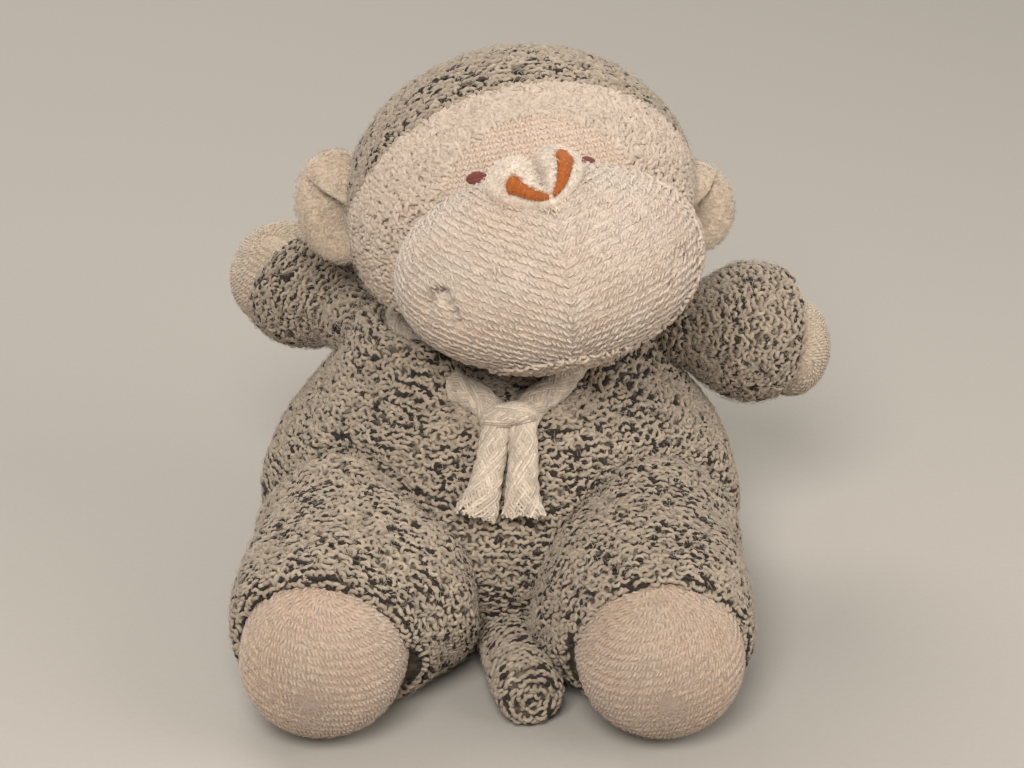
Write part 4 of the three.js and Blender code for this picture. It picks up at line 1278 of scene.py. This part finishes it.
class PLUSH_OT_head(bpy.types.Operator):
    """Knit the hood, the terry ring and the forehead"""

    bl_idname = "plush.head"
    bl_label = "Head"

    def execute(self, context):
        hood = SkullBand(hood_edge, back_of_head, raised=0.0, length=76.0)
        reach = (0.6, hood.length - 1)
        marled(
            "hood", hood, reach, columns=180, seed=61, nodes=["hood"],
            keep=clear_of_chin, ground_keep=clear_of_chin, body="head")
        marl_fibres("hood_nap", hood, reach, clear_of_chin, count=8000, seed=179, body="head")
        self.add_ring()
        self.add_forehead()
        gather = NeckGather()
        marled(
            "neck_gather", gather, (0.3, gather.length * 0.72), columns=180, seed=61, ground="neck_gather",
            style=MARL._replace(lift=0.6, half_width=0.5), step=0.9, fill=None, body="head")
        return {"FINISHED"}

    def add_ring(self):
        """The terry round the face."""
        ring = SkullBand(patch_edge, hood_edge, raised=-0.4, length=24.0)
        terry = tint("terry")
        # The terry ground at 0.92 is a painted-shade copy of the terry for the gaps between loops; its flecks
        # are peach.
        backing = finish_of("terry_ground", ground_finish, shaded(terry, 0.92), shaded(tint("peach"), 1.5))
        ground = plain_cover("ring_ground", ring, 180, backing, clear_of_chin, spare=0.5)
        seat_piece(ground, "cream_terry", ["face_ring"], body="head", fill=0.7)
        nap = fibres(
            "ring_nap", ring, (0.5, ring.length), "terry_down", terry, count=2200, length=STRAY_LENGTH,
            seed=181, keep=clear_of_chin, rise=LOOP_TOP)
        loops = looped_cover(
            "ring_loops", ring, TERRY, terry_yarn(), (0.4, ring.length), seed=67, keep=clear_of_chin,
            radial=True)
        for piece in (nap, *loops):
            seat_piece(piece, "cream_terry", body="head")

    def add_forehead(self):
        """Upright ribs of V-shaped stitches, down to where the muzzle covers them."""
        patch = SkullBand(face_middle, patch_edge, raised=0.0, length=24.0)
        cloth = jersey("forehead_knit", tint("peach"))
        skin = jersey_cover(
            "forehead_skin", patch, (0, patch.length + 1), circle(240), cloth, height=0.1, step=0.5)
        seat_piece(skin, "peach_knit", ["forehead_patch"], body="head", fill=0.7)
        pitch, stitch = FOREHEAD_ROWS
        column, row = np.meshgrid(np.arange(-28, 29), np.arange(-6, 17), indexing="ij")
        column, row = column.ravel(), row.ravel()
        x, z = (column + 0.5) * stitch, (row + 0.5) * pitch
        inside = np.hypot(x / PATCH_EDGE[0], z / PATCH_EDGE[1]) < 1.02
        column, x, z = column[inside], x[inside], z[inside]
        slope = np.arcsin(np.hypot(x / SKULL[0], z / SKULL[2]))
        around = np.arctan2(z / SKULL[2], x / SKULL[0])
        along = (slope - POLE_GAP) / (patch_edge(around) - POLE_GAP) * patch.length
        points, outward = patch.at(along, around), outward_at(patch, along, around)
        across = unit(np.cross(HEAD_AXES[:, 2], outward))
        leaning = np.where(column % 2 == 0, 1.0, -1.0)[:, None]
        rows = slanted_stitches(
            "forehead_stitches", points, outward, np.cross(outward, across), across * leaning, cloth,
            length=pitch * 1.15, radius=0.36, seed=141, lean=0.5)
        seat_piece(rows, "peach_knit", body="head")


class PLUSH_OT_muzzle(bpy.types.Operator):
    """Knit the two halves of the muzzle"""

    bl_idname = "plush.muzzle"
    bl_label = "Muzzle"

    def execute(self, context):
        around = np.radians(np.linspace(-180, 180, 440))
        height = 2 * context.scene.plush_sizes.rib_height / MM
        tan = tint("tan")
        cloth = jersey("muzzle_knit", tan)
        for side, sign in SIDES.items():
            half = MuzzleHalf(sign)
            reach = (0.0, half.length)
            skin = jersey_cover(
                f"muzzle_{side}_skin", half, reach, around, cloth, height, step=0.3, closed=False,
                press=self.seam_and_dimples, keep=clear_of_chin)
            seat_piece(skin, "tan_knit", [f"muzzle_{side}_half"], body="head", fill=0.8)
            rows = self.stitch_rows(side, sign, cloth)
            points, outward = scatter(
                half, reach, (around[0], around[-1]), count=8000, seed=127, keep=clear_of_chin)
            points = points - outward * self.seam_and_dimples(points)[:, None]
            nap = fuzz(f"muzzle_{side}_nap", points, outward, "muzzle_down", tan, length=1.1, seed=127)
            for piece in (rows, nap):
                seat_piece(piece, "tan_knit", body="head")
        self.add_fringe("chin_loops", *CHIN_FRINGE, seed=157)
        self.add_fringe("cheek_loops", *CHEEK_FRINGE, seed=163)
        return {"FINISHED"}

    def add_fringe(self, name, levels, turns, seed):
        """Terry loops along the seam round the muzzle."""
        rng = np.random.default_rng(seed)
        places = []
        for angle in np.arange(*levels, TERRY.pitch / MUZZLE[2]):
            wide = math.cos(angle)
            count = int((turns[1] - turns[0]) * MUZZLE[0] * wide / TERRY.stitch)
            turn = np.linspace(*turns, count) + rng.normal(0, 0.02, count)
            level = np.full(count, math.sin(angle)) + rng.normal(0, 0.006, count)
            places.append(np.stack([wide * np.sin(turn), -wide * np.cos(turn), level], -1))
        local = np.concatenate(places) * MUZZLE
        points = from_head(local + MUZZLE_CENTRE)
        kept = clear_of_chin(points)
        points, outward = points[kept], unit(local / MUZZLE ** 2)[kept] @ HEAD_AXES.T
        row = unit(np.cross(HEAD_AXES[:, 2], outward))
        fringe = yarn_loops(name, points, row, outward, TERRY, rng, 0.8, terry_yarn())
        seat_piece(fringe, "cream_terry", body="head")

    def stitch_rows(self, side, sign, material):
        """Slanting stitches in rows that fall to the seam, where they meet the other half's as Vs."""
        rng = np.random.default_rng(137)
        pitch, stitch = MUZZLE_ROWS
        places = []
        for row in range(-34, 16):
            run = np.arange(0.4, 80.0, stitch) + 0.5 * stitch * (row % 2)
            angle = (row * pitch + CHEVRON[side] * run) / MUZZLE[2]
            shrink = np.cos(np.clip(angle, -1.5, 1.5))
            slope = run / (0.5 * (MUZZLE[0] * shrink + MUZZLE[1]))
            spots = np.stack([
                sign * MUZZLE[0] * shrink * np.sin(slope),
                -MUZZLE[1] * shrink * np.cos(slope),
                MUZZLE[2] * np.sin(angle),
            ], -1)
            places.append(spots[(slope < math.radians(140)) & (np.abs(angle) < 1.45)])
        local = np.concatenate(places)
        local = local + rng.normal(0, 0.11, local.shape)
        outward = unit(local / MUZZLE ** 2)
        points = from_head(local + MUZZLE_CENTRE)
        kept = clear_of_chin(points) & (np.sum((into_head(points) / SKULL) ** 2, -1) > 0.97)
        points, outward = points[kept], outward[kept] @ HEAD_AXES.T
        across = unit(np.cross(HEAD_AXES[:, 2], outward))
        points = points - outward * self.seam_and_dimples(points)[:, None]
        return slanted_stitches(
            f"muzzle_{side}_stitches", points, outward, np.cross(outward, across), across, material,
            length=pitch, radius=0.33, seed=139, lean=0.62 * sign)

    def seam_and_dimples(self, points):
        """Depth of the seam, and of the creases where the mouth's corners are pulled in."""
        local = into_head(points) - MUZZLE_CENTRE
        total = MUZZLE_SEAM_DEPTH * np.exp(-(local[..., 0] / MUZZLE_SEAM_WIDTH) ** 2)
        for side, sign in SIDES.items():
            path = smooth_path(np.array(MOUTH_CREASE) * (sign, 1), 6)
            off = np.min([np.hypot(local[..., 0] - x, local[..., 2] - z) for x, z in path], axis=0)
            total = total + MOUTH_DEPTH[side] * np.exp(-(off / MOUTH_WIDTH) ** 2) * (local[..., 1] < 0)
        return total


class PLUSH_OT_ears(bpy.types.Operator):
    """Knit the ears"""

    bl_idname = "plush.ears"
    bl_label = "Ears"

    def execute(self, context):
        colour = tint("ear")
        cloth = jersey("ear_jersey", colour)
        for side in SIDES:
            shell, body = EarShell(side), f"{side}_ear"
            skin = jersey_cover(
                f"ear_{side}_skin", shell, (0.1, shell.length - 0.1), circle(210), cloth,
                height=0.12, step=0.3, ribs=knit_relief)
            seat_piece(skin, "tan_knit", [f"ear_{side}"], body=body, fill=0.5)
            reach = (0.5, shell.length - 0.5)
            nap = fibres(
                f"ear_{side}_nap", shell, reach, "ear_down", colour, count=3000, length=1.2, seed=131)
            seat_piece(nap, "tan_knit", body=body)
        return {"FINISHED"}


def from_nose(local):
    """Points of the nose's own frame, X across it, Y up it and Z out of it, in the toy's frame."""
    return from_head(local @ NOSE_AXES.T + NOSE_SEAT)


def bezier(p0, p1, p2, p3, count):
    t = np.linspace(0, 1, count, endpoint=False)[:, None]
    p0, p1, p2, p3 = (np.array(p, float) for p in (p0, p1, p2, p3))
    return (1 - t) ** 3 * p0 + 3 * (1 - t) ** 2 * t * p1 + 3 * (1 - t) * t ** 2 * p2 + t ** 3 * p3


def heart_outline(count):
    """The nose's outline from its tip round its right lobe and back."""
    wide, top = NOSE_HALF_WIDTH, NOSE_HEIGHT
    right = np.vstack([
        bezier((0, 0), (wide * 0.5, top * 0.12), (wide, top * 0.35), (wide, top * 0.68), count),
        bezier((wide, top * 0.68), (wide, top * 1.08), (wide * 0.25, top * 1.1), (0, top * 0.9), count),
    ])
    left = right[1:][::-1] * np.array((-1, 1))
    return np.vstack([right, [(0, top * 0.9)], left])


def laid_threads(name, starts, ends, outward, bulge, finish, colour, radius, seed):
    """Threads from starts to ends that bulge outwards in the middle."""
    rng = np.random.default_rng(seed)
    share = np.linspace(0, 1, THREAD_RINGS)
    lines = starts[:, None] + (ends - starts)[:, None] * share[:, None]
    arch = np.sqrt(np.maximum(np.sin(share * math.pi), 0))
    lines = lines + outward[:, None] * (bulge[:, None] * arch)[..., None]
    tone = rng.uniform(0, 1, len(starts))[:, None]
    material = finish_of(finish, thread_finish, colour)
    return strands(name, lines, outward[:, None], radius * (0.7 + 0.3 * arch), 6, material, tone=tone)


class PLUSH_OT_face(bpy.types.Operator):
    """Sew on the nose pad, and stitch the nostrils and the eyes"""

    bl_idname = "plush.face"
    bl_label = "Nose and eyes"

    def execute(self, context):
        self.add_nose()
        for side, sign in SIDES.items():
            self.add_nostril(side, sign)
            self.add_eye(side, sign)
        self.add_tuft()
        return {"FINISHED"}

    def pad_height(self, share):
        return NOSE_LIFT + NOSE_PAD * np.sqrt(np.maximum(1 - share ** 2.6, 0))

    def lobes(self, flat):
        """How far the two stuffed lobes swell, with the crease between them."""
        across, up = flat[..., 0], flat[..., 1]
        aside = (np.abs(across) - NOSE_LOBE_PLACE[0]) / NOSE_LOBE_SPAN[0]
        above = (up - NOSE_LOBE_PLACE[1]) / NOSE_LOBE_SPAN[1]
        fold = np.exp(-across ** 2) * smooth_step(up, *NOSE_FOLD_SPAN)
        return NOSE_LOBE * np.exp(-aside ** 2 - above ** 2) - NOSE_FOLD * fold

    def add_nose(self):
        outline = heart_outline(40)
        share = np.concatenate([np.linspace(0.01, 1, NOSE_RINGS) ** 0.8, [0.97, 0.9]])
        sink = np.concatenate([np.zeros(NOSE_RINGS), [2.6, 8.0]])
        flat = NOSE_MIDDLE + (outline - NOSE_MIDDLE)[None] * share[:, None, None]
        height = np.broadcast_to((self.pad_height(share) - sink)[:, None], flat.shape[:2]).copy()
        height += self.lobes(flat) * ((1 - share ** 8) * (sink == 0))[:, None]
        rng = np.random.default_rng(71)
        nap = rng.uniform(0, 1, height.shape)
        height += 0.12 * (nap - 0.5) * (sink == 0)[:, None]
        points = from_nose(np.concatenate([flat, height[..., None]], -1))
        velour = tint("velour")
        # The nap's random heights go to relief, so jersey_finish paints shade on the lower spots.
        pad = skin_piece("nose_pad", points, True, jersey("nose_nap", velour), relief=0.55 + 0.45 * nap)
        seat_piece(pad, "nose_velour", ["nose"], body="head", fill=0.7)
        chosen = rng.integers(0, NOSE_RINGS * len(outline), 2600)
        spots = points[:NOSE_RINGS].reshape(-1, 3)[chosen]
        outward = unit(spots - from_nose(np.array((*NOSE_MIDDLE, -6.0))))
        nap = fuzz("nose_nap_fibres", spots, outward, "nose_down", velour, length=1.1, seed=149)
        seat_piece(nap, "nose_velour", body="head")

    def add_nostril(self, side, sign):
        """Satin stitches laid across a comma that thins towards the nose's tip, with worn fibres."""
        count, worn_each = 64, 6
        share = np.linspace(0, 1, count)
        spine = bezier(NOSTRIL_START, *NOSTRIL_BENDS[side], count)
        ahead = unit(np.gradient(spine, axis=0))
        across = np.stack([-ahead[:, 1], ahead[:, 0]], -1)
        half = 0.34 + NOSTRIL_WIDTH[side] * share ** 1.1
        half *= np.sqrt(np.clip((1.04 - share) / 0.12, 0.15, 1))
        half *= np.random.default_rng(72).uniform(0.86, 1.1, count)
        ends = []
        for way in (-1, 1):
            flat = (spine + across * (half * way)[:, None]) * np.array((sign, 1))
            arm = (flat - NOSE_MIDDLE) / np.array((NOSE_HALF_WIDTH, NOSE_MIDDLE[1]))
            reach = np.clip(np.hypot(*arm.T), 0, 0.98)
            height = self.pad_height(reach) + self.lobes(flat) - 0.15
            ends.append(from_nose(np.concatenate([flat, height[:, None]], -1)))
        outward = np.broadcast_to(NOSE_OUT, ends[0].shape)
        bulge = 0.35 + 0.35 * half
        rust = tint("rust")
        threads = laid_threads(
            f"nostril_{side}_stitches", *ends, outward, bulge, "nostril_thread", rust, radius=0.17, seed=73)
        seat_piece(threads, "rust_thread", [f"nostril_{side}"], body="head")
        chosen = np.random.default_rng(74).uniform(0, 1, (count * worn_each, 1))
        first, last = (np.repeat(end, worn_each, axis=0) for end in ends)
        spots = first * chosen + last * (1 - chosen)
        spots += np.repeat(outward * bulge[:, None], worn_each, axis=0) * 0.9
        worn = fuzz(
            f"nostril_{side}_fibres", spots, np.repeat(outward, worn_each, axis=0), "nostril_down", rust,
            length=0.7, seed=151)
        seat_piece(worn, "rust_thread", body="head")

    def add_eye(self, side, sign):
        """A short satin bar."""
        rows = np.linspace(-1, 1, 8)
        half = EYE_HALF_WIDTH * np.sqrt(1.15 - rows ** 2)
        z = EYE_HEIGHT[side] + rows * EYE_HALF_HEIGHT
        ends = []
        for way in (-1, 1):
            x = sign * EYE_SPREAD[side] + half * way
            y = -SKULL[1] * np.sqrt(np.maximum(1 - (x / SKULL[0]) ** 2 - (z / SKULL[2]) ** 2, 0))
            ends.append(from_head(np.stack([x, y, z], -1)))
        outward = unit((ends[0] + ends[1]) / 2 - HEAD_CENTRE)
        bulge = 0.75 - 0.3 * rows ** 2
        threads = laid_threads(
            f"eye_{side}_stitches", *ends, outward, bulge, "eye_thread", tint("maroon"), radius=0.3, seed=79)
        seat_piece(threads, "maroon_thread", [f"eye_{side}"], body="head")

    def add_tuft(self):
        """Thread ends where the nose's tip is sewn to the muzzle."""
        rng = np.random.default_rng(83)
        count = 9
        start = np.stack([rng.normal(0, 0.5, count), rng.normal(0.1, 0.3, count), np.full(count, 0.4)], -1)
        hang = [rng.normal(0, 1.0, count), rng.normal(-1.6, 0.8, count), rng.uniform(-0.8, 0.5, count)]
        end = start + np.stack(hang, -1)
        outward = np.broadcast_to(NOSE_OUT, (count, 3))
        threads = laid_threads(
            "nose_tip_threads", from_nose(start), from_nose(end), outward, rng.uniform(0.3, 0.9, count),
            "white_thread", shaded(tint("cotton"), 1.25), radius=0.13, seed=89)
        seat_piece(threads, "nose_velour", body="head")


def carried_frames(path):
    """Directions ahead, aside and above along a path, carried on without twisting."""
    ahead = unit(np.gradient(path, axis=0))
    above = np.zeros_like(path)
    above[0] = unit(np.array((0, 0, 1.0)) - ahead[0] * ahead[0][2])
    for i in range(1, len(path)):
        above[i] = unit(above[i - 1] - ahead[i] * np.dot(above[i - 1], ahead[i]))
    return ahead, np.cross(ahead, above), above


def even_path(points, step):
    """The same path with points at even steps, and how far along it they are."""
    run = run_along(points)
    even = even_steps(0, run[-1], step)
    return np.stack([np.interp(even, run, points[:, axis]) for axis in range(3)], -1), even


def braid(path, run, radius, flare, rng, frames):
    """Yarns of a round braid: two to a strand, strands both ways, each over two and under two."""
    _, aside, above = frames
    count = bpy.context.scene.plush_sizes.braid_strands
    lay = run / BRAID_LAY * math.pi
    lines, up = [], []
    for way in (-1, 1):
        for strand in range(count):
            for twin in (-0.5, 0.5):
                turn = way * lay * 2 + (strand + 0.42 * twin) / count * 2 * math.pi
                weave = np.cos(lay * count + strand * math.pi * 0.5 + (way > 0) * math.pi)
                loose = flare * rng.uniform(0.7, 1.1)
                reach = radius * (0.83 + 0.05 * weave)
                wide = reach * (1 + 0.62 * loose)
                deep = reach * (1 - CORD_FLATTEN * loose)
                spoke = aside * (wide * np.cos(turn))[:, None] + above * (deep * np.sin(turn))[:, None]
                lines.append(path + spoke)
                up.append(unit(spoke))
    return np.array(lines), np.array(up)


class PLUSH_OT_cord(bpy.types.Operator):
    """Braid the neck cord, its knot and its frayed ends"""

    bl_idname = "plush.cord"
    bl_label = "Neck cord"

    def execute(self, context):
        cotton = finish_of("cord_cotton", thread_finish, tint("cotton"))
        knot = self.add_knot(cotton)
        routes = {"right": COLLAR_ROUTE[NAPE:], "left": COLLAR_ROUTE[NAPE::-1]}
        nodes = {"right": ["neck_cord", "cord_tail_right"], "left": ["cord_tail_left"]}
        for number, (side, collar) in enumerate(routes.items()):
            name = f"neck_cord_{side}"
            rng = np.random.default_rng(97 + number)
            knots = np.array((*collar, *TAIL_ROUTES[side])) + NECK_CENTRE
            path, run = even_path(smooth_path(knots), 0.7)
            flare = np.clip((run - run[-1] + CORD_FLARE) / CORD_FLARE, 0, 1) ** 1.8
            frames = carried_frames(path)
            lines, up = braid(path, run, CORD_RADIUS, flare, rng, frames)
            fray = (np.clip((run - run[-1] + CORD_FRAY) / CORD_FRAY, 0, 1) ** 2)[None, :, None]
            lines = lines + rng.normal(0, 1, lines.shape) * fray * 0.35
            tone = rng.uniform(0, 1, len(lines))[:, None]
            piece = strands(name, lines, up, BRAID_YARN * (1 - 0.2 * flare), 5, cotton, tone=tone)
            core = self.add_core(f"{name}_core", path, frames, flare, cotton)
            seat_piece(piece, "cotton_cord", nodes[side], body="torso")
            end = self.add_cut_end(f"{name}_cut_end", path, frames, flare, cotton)
            for inner in (core, end):
                seat_piece(inner, "cotton_cord", body="torso")
            [core, end] + ([knot] if side == "right" else [])
        return {"FINISHED"}

    def add_core(self, name, path, frames, flare, cotton):
        """The cord's filling, which closes the gaps between its strands."""
        shorter = slice(0, len(path) - 4)
        radius = CORD_RADIUS * 0.85 - 0.3 * flare[shorter]
        return strands(name, path[None, shorter], frames[2][None, shorter], radius, 14, cotton, tone=0.55)

    def add_cut_end(self, name, path, frames, flare, cotton):
        """Straight yarns that fill the flared end."""
        rng = np.random.default_rng(151)
        last = slice(len(path) - CUT_END_RINGS, len(path))
        _, aside, above = (direction[last] for direction in frames)
        reach = CORD_RADIUS * 0.8 * np.sqrt(rng.uniform(0, 1, CUT_END_YARNS))[:, None]
        turn = rng.uniform(0, 2 * math.pi, CUT_END_YARNS)[:, None]
        wide = reach * np.cos(turn) * (1 + 0.6 * flare[last])
        deep = reach * np.sin(turn) * (1 - CORD_FLATTEN * flare[last])
        lines = path[last] + wide[..., None] * aside + deep[..., None] * above
        lines = lines + rng.normal(0, 0.12, lines.shape) * flare[last][:, None]
        tone = rng.uniform(0.3, 1, len(lines))[:, None]
        return strands(name, lines, above, BRAID_YARN * 0.9, 5, cotton, tone=tone)

    def add_knot(self, cotton):
        """One turn of the cord round both tails."""
        turn = circle(72)
        ring = np.stack([KNOT_REACH[0] * np.cos(turn), KNOT_REACH[1] * np.sin(turn), 0.7 * np.cos(turn)], -1)
        tilt = np.array(Matrix.Rotation(math.radians(KNOT_TILT), 3, "X"))
        path = ring @ tilt.T + KNOT_PLACE + NECK_CENTRE
        path = np.vstack([path, path[:1]])
        rng = np.random.default_rng(101)
        none = np.zeros(len(path))
        frames = carried_frames(path)
        lines, up = braid(path, run_along(path), CORD_RADIUS * KNOT_THICKNESS, none, rng, frames)
        tone = rng.uniform(0, 1, len(lines))[:, None]
        knot = strands("cord_knot_turn", lines, up, BRAID_YARN, 5, cotton, tone=tone)
        return seat_piece(knot, "cotton_cord", ["cord_knot"], body="torso")


class PLUSH_OT_filling(bpy.types.Operator):
    """Give the filling inside the body and head its fibre finish"""

    bl_idname = "plush.filling"
    bl_label = "Filling"

    def execute(self, context):
        colour = tint("fibre")
        fibre = finish_of("fibre_tufts", fibre_finish, colour)
        beans = finish_of("bean_bag_cloth", fibre_finish, shaded(colour, 0.8))
        finishes = dict.fromkeys(("body_filling", "head_filling", "muzzle_filling"), fibre)
        finishes["seat_bean_bag"] = beans
        for node, finish in finishes.items():
            mesh = frame["nodes"][node].data
            mesh.materials.clear()
            mesh.materials.append(finish)
        return {"FINISHED"}


def aim(name, data, place, target):
    """Adds a lamp or a camera that looks at a target."""
    thing = bpy.data.objects.new(name, data)
    thing.location = place
    thing.rotation_euler = (target - place).to_track_quat("-Z", "Y").to_euler()
    bpy.context.scene.collection.objects.link(thing)
    return thing


class PLUSH_OT_stage(bpy.types.Operator):
    """Set the floor, the lamps and the camera"""

    bl_idname = "plush.stage"
    bl_label = "Stage"

    def execute(self, context):
        scene = context.scene
        points = np.concatenate([(CORNERS * 2 - 1) * FLOOR_HALF, np.zeros((4, 1))], -1)
        cloth = floor_finish("floor_cloth", tint("floor"))
        floor = new_piece("floor", points, np.array(((0, 1, 2, 3),)), CORNERS, cloth)
        self.add_camera(scene)
        for name, place, size, power in LAMPS:
            lamp = bpy.data.lights.new(name, "AREA")
            lamp.shape = "DISK"
            lamp.size = size
            lamp.energy = power
            aim(name, lamp, Vector(place), Vector(LAMP_TARGET))
        world = bpy.data.worlds.new("studio")
        scene.world = world
        world.use_nodes = True
        background = world.node_tree.nodes["Background"]
        background.inputs["Color"].default_value = (*WORLD_COLOUR, 1)
        background.inputs["Strength"].default_value = WORLD_STRENGTH
        scene.view_settings.view_transform = "Standard"
        return {"FINISHED"}

    def add_camera(self, scene):
        sizes = scene.plush_sizes
        target = Vector(CAMERA_TARGET) * MM
        rise = sizes.camera_rise
        place = target + Vector((0, -math.cos(rise), math.sin(rise))) * sizes.camera_distance
        data = bpy.data.cameras.new("camera")
        data.lens = sizes.lens
        data.sensor_width = 36.0
        data.clip_start = 0.01
        scene.camera = aim("camera", data, place, target)


class PLUSH_PT_panel(bpy.types.Panel):
    """Lists the steps that dress the toy, and its settings."""

    bl_idname = "PLUSH_PT_panel"
    bl_label = "Plush Monkey"
    bl_space_type = "VIEW_3D"
    bl_region_type = "UI"
    bl_category = "Plush"

    def draw(self, context):
        for operator in OPERATORS:
            self.layout.operator(operator.bl_idname)
        for group in (context.scene.plush_sizes, context.scene.plush_colours):
            for name in group.bl_rna.properties.keys():
                if name not in {"rna_type", "name"}:
                    self.layout.prop(group, name)


OPERATORS = (
    PLUSH_OT_stage,
    PLUSH_OT_cord,
    PLUSH_OT_body,
    PLUSH_OT_arms,
    PLUSH_OT_legs,
    PLUSH_OT_tail,
    PLUSH_OT_head,
    PLUSH_OT_muzzle,
    PLUSH_OT_ears,
    PLUSH_OT_face,
    PLUSH_OT_filling,
)
CLASSES = (PlushSizes, PlushColours, *OPERATORS, PLUSH_PT_panel)


def register():
    for cls in CLASSES:
        bpy.utils.register_class(cls)
    bpy.types.Scene.plush_sizes = PointerProperty(type=PlushSizes)
    bpy.types.Scene.plush_colours = PointerProperty(type=PlushColours)


def unregister():
    del bpy.types.Scene.plush_colours
    del bpy.types.Scene.plush_sizes
    for cls in reversed(CLASSES):
        bpy.utils.unregister_class(cls)


def main():
    register()
    bpy.ops.plush.stage()
    bpy.ops.plush.cord()
    bpy.ops.plush.body()
    bpy.ops.plush.arms()
    bpy.ops.plush.legs()
    bpy.ops.plush.tail()
    bpy.ops.plush.head()
    bpy.ops.plush.muzzle()
    bpy.ops.plush.ears()
    bpy.ops.plush.face()
    bpy.ops.plush.filling()


if __name__ == "__main__":
    main()
